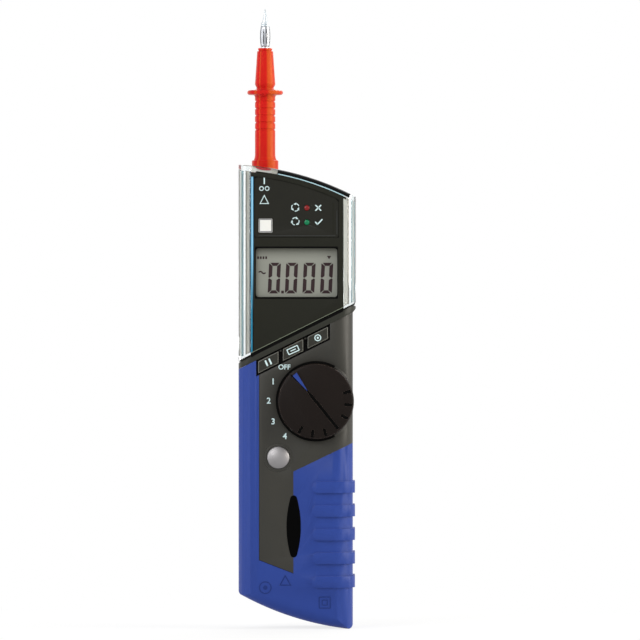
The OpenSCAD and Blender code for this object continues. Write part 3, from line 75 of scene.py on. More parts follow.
@dataclass(frozen=True)
class Extent:
    """Box of a solid in millimetres, from which the looks take their places and sizes.

    Attributes:
        low: Its left, front and lower side.
        high: Its right, rear and upper side.
    """

    low: Vector
    high: Vector

    @classmethod
    def of(cls, node: str) -> "Extent":
        """Returns the box of one solid of the frame."""
        low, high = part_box(node)
        return cls(low / MM, high / MM)

    @property
    def middle(self) -> Vector:
        """Returns the centre of the box."""
        return (self.low + self.high) / 2

    @property
    def size(self) -> Vector:
        """Returns its width, depth and height."""
        return self.high - self.low


# Depth of the case's flat front
FRONT = Extent.of("front_cover").low.y
# Edges that turn more than this are eased
SHARP = math.radians(30)
# Turn that lays a piece lathed round Z on its back, so that its top faces the front
TO_FRONT = Matrix.Rotation(math.pi / 2, 3, "X")


# -------- colour and nodes


def linear(hex_code: str) -> tuple[float, float, float, float]:
    """Turns an sRGB hex code into a linear colour.

    Args:
        hex_code: Colour as "#rrggbb".

    Returns:
        Red, green, blue and an alpha of 1.
    """
    parts = [int(hex_code[i:i + 2], 16) / 255 for i in (1, 3, 5)]
    red, green, blue = (p / 12.92 if p <= 0.04045 else ((p + 0.055) / 1.055) ** 2.4 for p in parts)
    return red, green, blue, 1.0


def add_node(tree: bpy.types.NodeTree, kind: str, inputs: Optional[Mapping] = None,
             **settings: object) -> bpy.types.Node:
    """Adds a node to a tree, with its settings and links.

    Args:
        tree: Node tree of a material or of the world.
        kind: Type name of the node.
        inputs: Value, output socket or node for each input, by its name or number. A node
            stands for its first output.
        **settings: Properties of the node.

    Returns:
        The new node.
    """
    node = tree.nodes.new(kind)
    for key, value in settings.items():
        setattr(node, key, value)
    for key, value in (inputs or {}).items():
        if isinstance(value, bpy.types.Node):
            value = value.outputs[0]
        if isinstance(value, bpy.types.NodeSocket):
            tree.links.new(value, node.inputs[key])
        else:
            node.inputs[key].default_value = value
    return node


class Turn(Enum):
    """Axis round which a turned surface carries its fine lines, or along which a drawn one does."""

    X = (1.0, 0.04, 0.04)
    Y = (0.04, 1.0, 0.04)
    Z = (0.04, 0.04, 1.0)
    ALONG_Z = (1.0, 1.0, 0.04)


def start_material(name: str) -> tuple[bpy.types.Material, bpy.types.NodeTree, bpy.types.NodeSocket]:
    """Makes an empty material.

    Args:
        name: Name of the material.

    Returns:
        The material, its node tree and the object coordinates in it.
    """
    material = bpy.data.materials.new(name)
    material.use_nodes = True
    tree = material.node_tree
    tree.nodes.clear()
    place = add_node(tree, "ShaderNodeTexCoord").outputs["Object"]
    return material, tree, place


def fill_ramp(ramp: bpy.types.Node, stops: Iterable[tuple[float, Sequence[float]]]) -> None:
    """Sets the stops of a colour ramp, which has two to begin with.

    Args:
        ramp: Node of the ramp.
        stops: Place and colour of each stop, from left to right.
    """
    elements = ramp.color_ramp.elements
    for i, (spot, colour) in enumerate(stops):
        stop = elements[i] if i < 2 else elements.new(spot)
        stop.position, stop.color = spot, colour


@dataclass(frozen=True)
class Finish:
    """What every finish has; each kind builds its material in its own way.

    Attributes:
        name: Name of the material.
        base: Main colour of the surface.
    """

    name: str
    base: str

    def build(self) -> bpy.types.Material:
        """Builds the material."""
        raise NotImplementedError


@dataclass(frozen=True)
class Plastic(Finish):
    """Injection-moulded plastic: even colour with a faint flow mottle and the fine grain of its mould.

    Attributes:
        shade: Colour in the darker flow marks.
        rough: Roughness of the surface.
        grain_mm: Size of one grain of the mould's texture.
        depth_mm: Depth of that texture.
        coat: Strength of a polished skin over the plastic.
        level: Specular level; textured plastic is low.
        flow_mm: Length of the flow marks.
        scuff_mm: Size of the patches that are a little duller or glossier.
        spread: How far the roughness falls and rises in them.
    """

    shade: str
    rough: float
    grain_mm: float = 0.35
    depth_mm: float = 0.02
    coat: float = 0.0
    level: float = 0.12
    flow_mm: float = 14.0
    scuff_mm: float = 3.0
    spread: Point = (0.04, 0.05)

    def build(self) -> bpy.types.Material:
        """Builds the material.

        Returns:
            The material.
        """
        material, tree, place = start_material(self.name)
        flow = add_node(tree, "ShaderNodeTexNoise", {
            "Vector": place, "Scale": 1 / (self.flow_mm * MM), "Detail": 4.0, "Roughness": 0.6})
        grain = add_node(tree, "ShaderNodeTexNoise", {
            "Vector": place, "Scale": 1 / (self.grain_mm * MM), "Detail": 2.0, "Roughness": 0.5})
        scuff = add_node(tree, "ShaderNodeTexNoise", {
            "Vector": place, "Scale": 1 / (self.scuff_mm * MM), "Detail": 6.0, "Roughness": 0.7})
        tint = add_node(tree, "ShaderNodeMix", {
            0: flow, 6: linear(self.shade), 7: linear(self.base)}, data_type="RGBA")
        gloss = add_node(tree, "ShaderNodeMapRange", {
            "Value": scuff, **NOISE_SPAN,
            "To Min": self.rough - self.spread[0], "To Max": self.rough + self.spread[1]})
        bump = add_node(tree, "ShaderNodeBump", {
            "Height": grain, "Strength": 0.5, "Distance": self.depth_mm * MM})
        skin = add_node(tree, "ShaderNodeBsdfPrincipled", {
            "Base Color": tint.outputs[2], "Roughness": gloss,
            "Normal": bump, "Specular IOR Level": self.level,
            "Coat Weight": self.coat, "Coat Roughness": 0.08})
        add_node(tree, "ShaderNodeOutputMaterial", {"Surface": skin})
        return material


@dataclass(frozen=True)
class Rubber(Finish):
    """Soft overmould of thermoplastic rubber: satin, with a pale bloom at grazing angles.

    Attributes:
        shade: Colour in its darker patches.
        bloom: Colour of the sheen at its edges.
        rough: Roughness of the surface.
        grain_mm: Size of one grain of the spark-eroded mould.
        sheen: Strength of the bloom.
        level: Specular level.
        patch_mm: Size of the darker patches.
        depth_mm: Depth of the mould's grain.
        spread: How far the roughness falls and rises in the patches.
    """

    shade: str
    bloom: str
    rough: float = 0.45
    grain_mm: float = 0.45
    sheen: float = 0.1
    level: float = 0.14
    patch_mm: float = 18.0
    depth_mm: float = 0.02
    spread: Point = (0.05, 0.06)

    def build(self) -> bpy.types.Material:
        """Builds the material.

        Returns:
            The material.
        """
        material, tree, place = start_material(self.name)
        patch = add_node(tree, "ShaderNodeTexNoise", {
            "Vector": place, "Scale": 1 / (self.patch_mm * MM), "Detail": 5.0, "Roughness": 0.55})
        grain = add_node(tree, "ShaderNodeTexVoronoi", {
            "Vector": place, "Scale": 1 / (self.grain_mm * MM), "Randomness": 1.0})
        tint = add_node(tree, "ShaderNodeMix", {
            0: patch, 6: linear(self.shade), 7: linear(self.base)}, data_type="RGBA")
        gloss = add_node(tree, "ShaderNodeMapRange", {
            "Value": patch, **NOISE_SPAN,
            "To Min": self.rough - self.spread[0], "To Max": self.rough + self.spread[1]})
        bump = add_node(tree, "ShaderNodeBump", {
            "Height": grain, "Strength": 0.35, "Distance": self.depth_mm * MM})
        skin = add_node(tree, "ShaderNodeBsdfPrincipled", {
            "Base Color": tint.outputs[2], "Roughness": gloss,
            "Normal": bump, "Specular IOR Level": self.level,
            "Sheen Weight": self.sheen, "Sheen Roughness": 0.4, "Sheen Tint": linear(self.bloom)})
        add_node(tree, "ShaderNodeOutputMaterial", {"Surface": skin})
        return material


@dataclass(frozen=True)
class Metal(Finish):
    """Bare or plated metal with the fine lines of its turning or rolling.

    Attributes:
        shade: Colour in its tarnished lines.
        rough: Mean roughness.
        turn: Axis that the lines run round.
        line_mm: Spacing of the lines; drawn coarser than real ones, which are a few hundredths.
        spread: How far the roughness varies from line to line.
        cloud_mm: Size of the tarnished clouds.
        depth_mm: Depth of the lines.
    """

    shade: str
    rough: float
    turn: Turn
    line_mm: float = 0.12
    spread: float = 0.1
    cloud_mm: float = 2.5
    depth_mm: float = 0.005

    def build(self) -> bpy.types.Material:
        """Builds the material.

        Returns:
            The material.
        """
        material, tree, place = start_material(self.name)
        stretch = add_node(tree, "ShaderNodeMapping", {"Vector": place, "Scale": self.turn.value})
        lines = add_node(tree, "ShaderNodeTexNoise", {
            "Vector": stretch, "Scale": 1 / (self.line_mm * MM), "Detail": 3.0})
        cloud = add_node(tree, "ShaderNodeTexNoise", {
            "Vector": place, "Scale": 1 / (self.cloud_mm * MM), "Detail": 4.0})
        tint = add_node(tree, "ShaderNodeMix", {
            0: cloud, 6: linear(self.shade), 7: linear(self.base)}, data_type="RGBA")
        gloss = add_node(tree, "ShaderNodeMapRange", {
            "Value": lines, **NOISE_SPAN,
            "To Min": max(0.04, self.rough - self.spread), "To Max": self.rough + self.spread})
        bump = add_node(tree, "ShaderNodeBump", {
            "Height": lines, "Strength": 0.2, "Distance": self.depth_mm * MM})
        skin = add_node(tree, "ShaderNodeBsdfPrincipled", {
            "Base Color": tint.outputs[2], "Metallic": 1.0, "Roughness": gloss, "Normal": bump})
        add_node(tree, "ShaderNodeOutputMaterial", {"Surface": skin})
        return material


@dataclass(frozen=True)
class ClearMoulding(Finish):
    """Clear polycarbonate: water-white, with faint sink waves in its faces.

    Attributes:
        rough: Roughness of its polished faces.
        ior: Refractive index; polycarbonate is about 1.58.
        wave_mm: Length of the sink waves.
        depth_mm: Depth of those waves.
        haze: How much rougher the dullest patch is.
    """

    rough: float = 0.02
    ior: float = 1.58
    wave_mm: float = 9.0
    depth_mm: float = 0.05
    haze: float = 0.03

    def build(self) -> bpy.types.Material:
        """Builds the material.

        Returns:
            The material.
        """
        material, tree, place = start_material(self.name)
        wave = add_node(tree, "ShaderNodeTexNoise", {
            "Vector": place, "Scale": 1 / (self.wave_mm * MM), "Detail": 1.0})
        haze = add_node(tree, "ShaderNodeMapRange", {
            "Value": wave, "To Min": self.rough, "To Max": self.rough + self.haze})
        bump = add_node(tree, "ShaderNodeBump", {
            "Height": wave, "Strength": 0.1, "Distance": self.depth_mm * MM})
        skin = add_node(tree, "ShaderNodeBsdfPrincipled", {
            "Base Color": linear(self.base), "Roughness": haze,
            "Normal": bump, "IOR": self.ior, "Transmission Weight": 1.0})
        add_node(tree, "ShaderNodeOutputMaterial", {"Surface": skin})
        return material


@dataclass(frozen=True)
class DisplayFilm(Finish):
    """Twisted-nematic display under an anti-glare film: grey-green, darker towards its upper edge.

    Attributes:
        shade: Colour under the frame's shadow.
        low: Height where the field is brightest, in millimetres.
        high: Height of its upper edge, in millimetres.
        speck_mm: Size of one speck of the anti-glare film.
        depth_mm: Depth of the specks.
    """

    shade: str
    low: float
    high: float
    speck_mm: float = 0.25
    depth_mm: float = 0.01

    def build(self) -> bpy.types.Material:
        """Builds the material.

        Returns:
            The material.
        """
        material, tree, place = start_material(self.name)
        split = add_node(tree, "ShaderNodeSeparateXYZ", {"Vector": place})
        fade = add_node(tree, "ShaderNodeMapRange", {
            "Value": split.outputs["Z"], "From Min": self.low * MM, "From Max": self.high * MM},
            interpolation_type="SMOOTHSTEP")
        speck = add_node(tree, "ShaderNodeTexNoise", {
            "Vector": place, "Scale": 1 / (self.speck_mm * MM), "Detail": 2.0})
        tint = add_node(tree, "ShaderNodeMix", {
            0: fade, 6: linear(self.base), 7: linear(self.shade)}, data_type="RGBA")
        bump = add_node(tree, "ShaderNodeBump", {
            "Height": speck, "Strength": 0.15, "Distance": self.depth_mm * MM})
        skin = add_node(tree, "ShaderNodeBsdfPrincipled", {
            "Base Color": tint.outputs[2], "Roughness": 0.4, "Normal": bump,
            "Specular IOR Level": 0.12})
        add_node(tree, "ShaderNodeOutputMaterial", {"Surface": skin})
        return material


@dataclass(frozen=True)
class SolderResist(Finish):
    """Glass-fibre board under green resist, with tinned tracks that show through it.

    Attributes:
        track: Colour over the copper tracks.
        pitch_mm: Spacing of the tracks, that of a fine connector.
    """

    track: str
    pitch_mm: float = 1.27

    def build(self) -> bpy.types.Material:
        """Builds the material.

        Returns:
            The material.
        """
        material, tree, place = start_material(self.name)
        turn = add_node(tree, "ShaderNodeMapping", {"Vector": place, "Rotation": (math.pi / 2, 0, 0)})
        lanes = add_node(tree, "ShaderNodeTexBrick", {
            "Vector": turn, "Scale": 1 / (4 * self.pitch_mm * MM),
            "Color1": linear(self.base), "Color2": linear(self.base), "Mortar": linear(self.track),
            "Mortar Size": 0.04, "Brick Width": 1.6, "Row Height": 0.5})
        skin = add_node(tree, "ShaderNodeBsdfPrincipled", {
            "Base Color": lanes, "Roughness": 0.3, "Coat Weight": 0.4})
        add_node(tree, "ShaderNodeOutputMaterial", {"Surface": skin})
        return material


@dataclass(frozen=True)
class VinylPaintedBands(Finish):
    """Glossy vinyl with painted light: warm bands painted round a turned handle and running straight up it,
    as the light that comes through it.

    Attributes:
        warm: Colour of the painted bands of light that comes through it.
        axis: Place of the handle's axis, in millimetres.
        lines: Share of the painted warm colour at places round the handle, counted from its left by way
            of the front, as shares of a turn.
        rough: Roughness of its skin.
        cloud_mm: Size of the clouds in the colour.
        spread: How far the roughness falls and rises in them.
    """

    warm: str
    axis: Point
    lines: tuple[Point, ...]
    rough: float = 0.3
    cloud_mm: float = 5.0
    spread: Point = (0.04, 0.06)

    def build(self) -> bpy.types.Material:
        """Builds the material.

        Returns:
            The material.
        """
        material, tree, place = start_material(self.name)
        centred = add_node(tree, "ShaderNodeMapping", {
            "Vector": place, "Location": (-self.axis[0] * MM, -self.axis[1] * MM, 0)})
        around = add_node(tree, "ShaderNodeTexGradient", {"Vector": centred}, gradient_type="RADIAL")
        bands = add_node(tree, "ShaderNodeValToRGB", {"Fac": around.outputs["Fac"]})
        fill_ramp(bands, ((spot, (share, share, share, 1)) for spot, share in self.lines))
        cloud = add_node(tree, "ShaderNodeTexNoise", {
            "Vector": place, "Scale": 1 / (self.cloud_mm * MM), "Detail": 3.0})
        drift = add_node(tree, "ShaderNodeMapRange", {
            "Value": cloud, "To Min": 0.85, "To Max": 1.1})
        share = add_node(tree, "ShaderNodeMath", {0: bands, 1: drift}, operation="MULTIPLY")
        tint = add_node(tree, "ShaderNodeMix", {
            0: share, 6: linear(self.base), 7: linear(self.warm)}, data_type="RGBA")
        gloss = add_node(tree, "ShaderNodeMapRange", {
            "Value": cloud,
            "To Min": self.rough - self.spread[0], "To Max": self.rough + self.spread[1]})
        skin = add_node(tree, "ShaderNodeBsdfPrincipled", {
            "Base Color": tint.outputs[2], "Roughness": gloss,
            "Specular IOR Level": 0.25, "Specular Tint": linear(self.warm)})
        add_node(tree, "ShaderNodeOutputMaterial", {"Surface": skin})
        return material


@dataclass(frozen=True)
class PaintedGlowStrip(Finish):
    """Tinted acrylic strip with painted light: a pale painted glow along its core between sides painted
    darker, teal at its foot.

    Attributes:
        core: Colour of the painted glow along the core.
        rim: Colour of the side that faces the module, painted darker as shade.
        foot: Colour at the lower end, where the painted glow fades.
        shadow: Colour of the painted shade on its right half there.
        across: Left and right edge of the strip, in millimetres.
        fade: Heights between which the painted glow comes up, in millimetres.
        wave_mm: Length of the waves in its gloss.
        gloss: Least and greatest roughness.
    """

    core: str
    rim: str
    foot: str
    shadow: str
    across: Point
    fade: Point
    wave_mm: float = 6.0
    gloss: Point = (0.22, 0.3)

    def build(self) -> bpy.types.Material:
        """Builds the material.

        Returns:
            The material.
        """
        material, tree, place = start_material(self.name)
        split = add_node(tree, "ShaderNodeSeparateXYZ", {"Vector": place})
        width = add_node(tree, "ShaderNodeMapRange", {
            "Value": split.outputs["X"], "From Min": self.across[0] * MM, "From Max": self.across[1] * MM})
        ramps = []
        for stops in (((0.1, self.base), (0.4, self.core), (0.6, self.core), (0.85, self.rim)),
                      ((0.0, self.foot), (0.5, self.foot), (0.62, self.shadow), (1.0, self.shadow))):
            bands = add_node(tree, "ShaderNodeValToRGB", {"Fac": width})
            fill_ramp(bands, ((spot, linear(colour)) for spot, colour in stops))
            ramps.append(bands)
        wave = add_node(tree, "ShaderNodeTexNoise", {
            "Vector": place, "Scale": 1 / (self.wave_mm * MM), "Detail": 2.0})
        rise = add_node(tree, "ShaderNodeMapRange", {
            "Value": split.outputs["Z"], "From Min": self.fade[0] * MM, "From Max": self.fade[1] * MM},
            interpolation_type="SMOOTHSTEP")
        tint = add_node(tree, "ShaderNodeMix", {
            0: rise, 6: ramps[1], 7: ramps[0]}, data_type="RGBA")
        gloss = add_node(tree, "ShaderNodeMapRange", {
            "Value": wave, "To Min": self.gloss[0], "To Max": self.gloss[1]})
        skin = add_node(tree, "ShaderNodeBsdfPrincipled", {
            "Base Color": tint.outputs[2], "Roughness": gloss, "Specular IOR Level": 0.2})
        add_node(tree, "ShaderNodeOutputMaterial", {"Surface": skin})
        return material


def wall_reflection(name: str, base: str, shade: str) -> Plastic:
    """Returns the even, matt finish of one painted reflection strip inside the hood's walls."""
    return Plastic("wall_painted_reflection_" + name, base, shade, rough=0.6, depth_mm=0.002, level=0.05)


# Textured ABS of the case: dark warm grey, matt, so the light spreads softly over its edges
CASE_GREY = Plastic("textured_abs_grey", "#302f2a", "#2a2925", rough=0.44, grain_mm=0.3, level=0.26)
# The band is the same plastic with a finer mould, a little glossier
BAND_GREY = Plastic("satin_abs_band", "#2a2b25", "#262722", rough=0.36, grain_mm=0.2, depth_mm=0.01,
                    level=0.16)
# Overmoulded rubber grip: deep blue with a violet bloom where it turns away
GRIP_BLUE = Rubber("overmoulded_rubber_blue", "#283f88", "#243a80", "#9488d8", sheen=0.18)
# Its rounded edges are a lighter blue, a painted highlight, with a little more sheen
GRIP_EDGE_HIGHLIGHT = Rubber("overmoulded_rubber_painted_highlight", "#3a4892", "#35448a", "#9488d8", sheen=0.22)
# Marks moulded into the same rubber: polished, and painted darker as the shade of sunk lines
MARK_SHADE_BLUE = Rubber("polished_rubber_painted_shade", "#1b3070", "#182b66", "#6a78c0", rough=0.3, sheen=0.05)
# Black ABS of the display module, faintly green, from a smooth mould
MODULE_BLACK = Plastic("satin_abs_module", "#1f1f19", "#1b1c16", rough=0.42, grain_mm=0.22, level=0.1)
# Printed polycarbonate foil on the module: near black, even, slightly glossier than the plastic
FOIL_BLACK = Plastic("printed_foil_black", "#21211c", "#1e1e1a", rough=0.36, grain_mm=0.5, depth_mm=0.004,
                     level=0.1)
# Moulded nylon of the knob: brown-black and dull; its eased edges are paler and a little glossier, a painted
# highlight
KNOB_BLACK = Plastic("nylon_knob_black", "#17110e", "#120d0b", rough=0.44, grain_mm=0.25, level=0.09)
KNOB_EDGE_HIGHLIGHT = Plastic("nylon_knob_painted_highlight", "#6e6058", "#62564f", rough=0.35, grain_mm=0.25, level=0.2)
# Keys in the case's grey from a finer mould: glossier faces, with their eased edges paler, a painted
# highlight
KEY_GREY = Plastic("satin_abs_key", "#2f2f2a", "#2a2a26", rough=0.36, grain_mm=0.2, depth_mm=0.01)
KEY_EDGE_HIGHLIGHT = Plastic("satin_abs_key_painted_highlight", "#62625c", "#585852", rough=0.34, grain_mm=0.2, level=0.2)
# Black nylon of inner pieces, so dull that it only shows as a dark gap or well; the same near-black is laid
# on as painted shade and painted shadow lines
BLACK_NYLON_AND_SHADE = Plastic("black_nylon_and_painted_shade", "#080807", "#050505", rough=0.6, grain_mm=0.3, level=0.04)
# Polished black acrylic of the badge: deep black, nearly a mirror at its edge
BADGE_BLACK = Plastic("polished_acrylic_black", "#020202", "#010101", rough=0.2, depth_mm=0.001,
                      level=0.03)
# White polystyrene: clean and satin
WHITE_PLASTIC = Plastic("satin_polystyrene_white", "#dededa", "#d6d6d2", rough=0.4, depth_mm=0.004)
# Natural acetal of the rotor: milky and waxy
ACETAL = Plastic("acetal_natural", "#ddd9cc", "#d2cdbf", rough=0.35, depth_mm=0.005, level=0.4)
# Screen-printed ink: pale with a cold tint, and a dark grey that hardly shows on black
INK = Plastic("screen_ink_pale", "#c8dedf", "#bed5d8", rough=0.5, depth_mm=0.002)
INK_GREY = Plastic("screen_ink_grey", "#45484a", "#3f4244", rough=0.5, depth_mm=0.002)
# Blue acrylic strip in the hood's left edge, with a painted glow along its core and painted shade beside it
# and at its foot
STRIP = Extent.of("edge_strip")
EDGE_BLUE = PaintedGlowStrip("blue_strip_painted_glow", "#2f86b6", "#8cc0d8", "#15668f", "#17779a", "#0d100f",
                       across=(STRIP.low.x - 0.05, STRIP.high.x + 0.05), fade=(128.0, 158.0))
# Tinted epoxy of the two lamps, unlit: deep colour under a glossy skin
LAMP_RED = Plastic("tinted_epoxy_red", "#7d1414", "#66100f", rough=0.2, coat=0.3, depth_mm=0.002)
LAMP_GREEN = Plastic("tinted_epoxy_green", "#00764a", "#00603c", rough=0.2, coat=0.3, depth_mm=0.002)
# Handle of the probe: glossy vinyl, scarlet, with painted orange bands where light comes through it
PROBE = Extent.of("probe_handle")
PROBE_RED = VinylPaintedBands(
    "vinyl_red_painted_light_bands", "#bd131b", "#bf4f22", axis=(PROBE.middle.x, PROBE.middle.y), lines=(
        (0.0, 0.45), (0.08, 0.4), (0.105, 0.05), (0.14, 0.05), (0.158, 0.9), (0.178, 0.1), (0.27, 0.1),
        (0.3, 0.95), (0.37, 0.95), (0.41, 0.45), (0.5, 0.6), (0.6, 0.1), (0.72, 0.9), (0.8, 0.1),
        (1.0, 0.75)))
# Driven segments of the display: a warm near-black that lets a little of the field through
SEGMENT = Plastic("display_segment_dark", "#35292b", "#302527", rough=0.4, depth_mm=0.001, level=0.06)
# Grey ink of the rim round the square badge: even and dull
RIM_GREY = Plastic("print_rim_grey", "#727476", "#6a6c6e", rough=0.45, depth_mm=0.002)
# Shrunk sleeve of a cell: dark and glossy
CELL_WRAP = Plastic("printed_sleeve_dark", "#23272c", "#1b1f24", rough=0.3, coat=0.4, depth_mm=0.003)
# Lacquer of resistors and thermistor: pale blue and smooth
LACQUER = Plastic("lacquer_pale_blue", "#86b6c6", "#78a8ba", rough=0.3, coat=0.3, depth_mm=0.004)
# Silicone keypad: grey, soft and dusty
SILICONE = Rubber("silicone_keypad_grey", "#57585c", "#4e4f53", "#a0a0a6", grain_mm=0.3)
# Black rubber joint: it hardly gives back any light
SEAL_BLACK = Rubber("rubber_seal_black", "#0b0b0a", "#080808", "#333333", grain_mm=0.25, sheen=0.03,
                    level=0.06)
# Satin dark nickel of the dome: a broad, soft shine, cooler than the case
DOME = Metal("satin_dark_nickel", "#929091", "#888687", rough=0.52, turn=Turn.Y, spread=0.04)
# Bright nickel of contacts and plates, and the same on drawn leaves, which carry lines along them
NICKEL = Metal("bright_nickel", "#a8a8ac", "#8f8f94", rough=0.24, turn=Turn.Z)
LEAF_NICKEL = Metal("drawn_nickel_leaf", "#b9bcc0", "#8a8c92", rough=0.3, turn=Turn.ALONG_Z, line_mm=0.5,
                    spread=0.04)
# Dark steel core inside the lantern contact: painted shade that shows as the dark lines between the leaves
CORE_SHADE_STEEL = Metal("steel_core_painted_shade", "#2d2e32", "#232428", rough=0.35, turn=Turn.Z)
# Turned steel of rod and needle, nearly white against a bright room
STEEL = Metal("turned_steel", "#d3dade", "#c5cdd2", rough=0.3, turn=Turn.Z, spread=0.05)
# Zinc plate on the screws: grey and a little cloudy
SCREW_STEEL = Metal("zinc_plated_steel", "#a9aaa6", "#8e8f8c", rough=0.32, turn=Turn.Y)
# Turned brass of sleeves and inserts: yellow, with fine rings
BRASS = Metal("turned_brass", "#c9a45a", "#b08c46", rough=0.25, turn=Turn.Z)
# Thinly tinned copper of the leads: its colour comes through
COPPER = Metal("tinned_copper", "#c98d58", "#b27a48", rough=0.3, turn=Turn.X)
# Clear polycarbonate of the hood: its index is set a little low, so the walls stay as pale as real thin ones
CLEAR = ClearMoulding("clear_polycarbonate", "#f4fafa", rough=0.015, ior=1.5)
# Painted reflections inside the hood's walls: opaque strips in the greys and pale blues that the clear
# plastic shows there
WALL_BEIGE = wall_reflection("beige", "#dcd8ce", "#d5d1c7")
WALL_GREEN = wall_reflection("green", "#c2ccc2", "#bac5bb")
WALL_CYAN = wall_reflection("cyan", "#a3c4cd", "#9abdc8")
WALL_GREY = wall_reflection("grey", "#a39d94", "#9a958d")
WALL_TEAL = wall_reflection("teal", "#35505c", "#2f4853")
WALL_LIGHT = wall_reflection("light", "#f2efe8", "#eae7e0")
# Painted olive shade in the hood's outer rim, and the painted red reflection of the probe's collar in its
# crown
WALL_OLIVE = Plastic("wall_rim_olive", "#514d3d", "#494536", rough=0.3, depth_mm=0.002, level=0.2)
WALL_RED = Plastic("wall_glint_red", "#d81c2c", "#b81022", rough=0.4, depth_mm=0.002, level=0.1)
# Near-black on the crown's edge, painted as the dark band that the clear plastic shows there: smooth and
# slightly glossy
CROWN_DARK_BAND = Plastic("crown_painted_dark_band", "#070807", "#050605", rough=0.3, depth_mm=0.002, level=0.08)
# Lower lip of the hood: a grey-green painted highlight along the clear edge over the black joint
LIP_HIGHLIGHT_GREEN = Plastic("hood_lip_painted_highlight", "#6f7766", "#646c5c", rough=0.4, depth_mm=0.002, level=0.1)
# Display under its anti-glare film: dull grey-green, with the housing's shadow along its top
LCD_FIELD = DisplayFilm("anti_glare_display", "#83857d", "#56574f", low=150.5, high=157.0)
# Glass-fibre boards: green resist with paler lines over the tracks
BOARD = SolderResist("solder_resist_green", "#1c5a36", "#2c7048")

SLOT_FINISH = {
    "case_grey": CASE_GREY, "grip_blue": GRIP_BLUE, "band_grey": BAND_GREY, "clear_plastic": CLEAR,
    "edge_blue": EDGE_BLUE, "module_black": MODULE_BLACK, "plate_black": FOIL_BLACK,
    "white_plastic": WHITE_PLASTIC, "black_gloss": BADGE_BLACK, "black_plastic": BLACK_NYLON_AND_SHADE,
    "knob_black": KNOB_BLACK, "key_grey": KEY_GREY, "lcd": LCD_FIELD, "lamp_red": LAMP_RED,
    "lamp_green": LAMP_GREEN, "probe_red": PROBE_RED, "steel": SCREW_STEEL, "nickel": NICKEL,
    "dome_metal": DOME, "brass": BRASS, "copper": COPPER, "board_green": BOARD,
    "silicone": SILICONE, "rotor_white": ACETAL, "cell_wrap": CELL_WRAP, "ceramic": LACQUER,
    "rubber_black": SEAL_BLACK,
}

_built: dict[str, bpy.types.Material] = {}


def material_of(finish: Finish) -> bpy.types.Material:
    """Finds the material of a finish, built once.

    Args:
        finish: The finish.

    Returns:
        Its material.
    """
    if finish.name not in _built:
        _built[finish.name] = finish.build()
    return _built[finish.name]


# -------- outlines


def arc_points(x: float, z: float, radius: float, start: float, end: float, steps: int) -> list[Point]:
    """Works out points along an arc in X and Z.

    Args:
        x: Centre in X.
        z: Centre in Z.
        radius: Radius of the arc.
        start: First angle, in degrees anticlockwise from the right.
        end: Last angle.
        steps: Number of straight parts.

    Returns:
        The points, both ends among them.
    """
    angles = (math.radians(start + (end - start) * i / steps) for i in range(steps + 1))
    return [(x + radius * math.cos(a), z + radius * math.sin(a)) for a in angles]


def curved_bar(x: float, z: float, radii: Point, start: float, end: float, steps: int) -> list[Point]:
    """Works out the outline of a bar that is bent round a centre in X and Z.

    Args:
        x: Centre in X.
        z: Centre in Z.
        radii: Inner and outer radius.
        start: First angle, in degrees anticlockwise from the right.
        end: Last angle.
        steps: Number of straight parts.

    Returns:
        The corners.
    """
    low, high = radii
    return arc_points(x, z, high, start, end, steps) + arc_points(x, z, low, start, end, steps)[::-1]


def circle(x: float, z: float, radius: float) -> list[Point]:
    """Returns the points of a circle in X and Z."""
    return arc_points(x, z, radius, 0, 360, 32)[:-1]


def round_box(x0: float, x1: float, z0: float, z1: float, radius: float, steps: int = 6) -> list[Point]:
    """Works out a rectangle in X and Z with rounded corners.

    Args:
        x0: Left side.
        x1: Right side.
        z0: Lower side.
        z1: Upper side.
        radius: Radius of its corners.
        steps: Number of straight parts in a corner.

    Returns:
        The corners.
    """
    centres = ((x1 - radius, z1 - radius), (x0 + radius, z1 - radius),
               (x0 + radius, z0 + radius), (x1 - radius, z0 + radius))
    return [point for k, (cx, cz) in enumerate(centres)
            for point in arc_points(cx, cz, radius, 90 * k, 90 * (k + 1), steps)]


# -------- mesh tools


def outward(bm: Mesh) -> Mesh:
    """Merges doubles and turns all faces outwards.

    Args:
        bm: The mesh.

    Returns:
        The same mesh.
    """
    bmesh.ops.remove_doubles(bm, verts=bm.verts, dist=1e-4)
    bmesh.ops.recalc_face_normals(bm, faces=bm.faces)
    return bm


def grow(bm: Mesh, faces: Sequence[bmesh.types.BMFace], depth: float) -> None:
    """Extrudes faces along Y.

    Args:
        bm: The mesh, in millimetres.
        faces: The faces.
        depth: How far they go; towards the rear when positive.
    """
    grown = bmesh.ops.extrude_face_region(bm, geom=list(faces))
    moved = [v for v in grown["geom"] if isinstance(v, bmesh.types.BMVert)]
    bmesh.ops.translate(bm, verts=moved, vec=(0, depth, 0))


def tilt(bm: Mesh, degrees: float) -> Mesh:
    """Turns a mesh clockwise in front view, about its origin; returns the same mesh."""
    bmesh.ops.transform(bm, matrix=Matrix.Rotation(math.radians(degrees), 4, "Y"), verts=bm.verts)
    return bm


def lathe(profile: Sequence[Point], steps: int) -> Mesh:
    """Turns a profile round the Z axis.

    Args:
        profile: Radius and height of each point, in millimetres.
        steps: Number of steps round the axis.

    Returns:
        The turned mesh.
    """
    bm = bmesh.new()
    verts = [bm.verts.new((r, 0, z)) for r, z in profile]
    edges = [bm.edges.new(pair) for pair in zip(verts, verts[1:])]
    bmesh.ops.spin(bm, geom=verts + edges, cent=(0, 0, 0), axis=(0, 0, 1), angle=2 * math.pi,
                   steps=steps, use_merge=True, use_duplicate=False)
    return outward(bm)


def slab(outline: Sequence[Point], depth: float) -> Mesh:
    """Extrudes a flat outline, drawn in X and Z, towards the rear.

    Args:
        outline: Corners in X and Z, in millimetres.
        depth: Thickness from y = 0 to y = depth.

    Returns:
        The extruded mesh.
    """
    bm = bmesh.new()
    grow(bm, [bm.faces.new([bm.verts.new((x, 0, z)) for x, z in outline])], depth)
    return outward(bm)


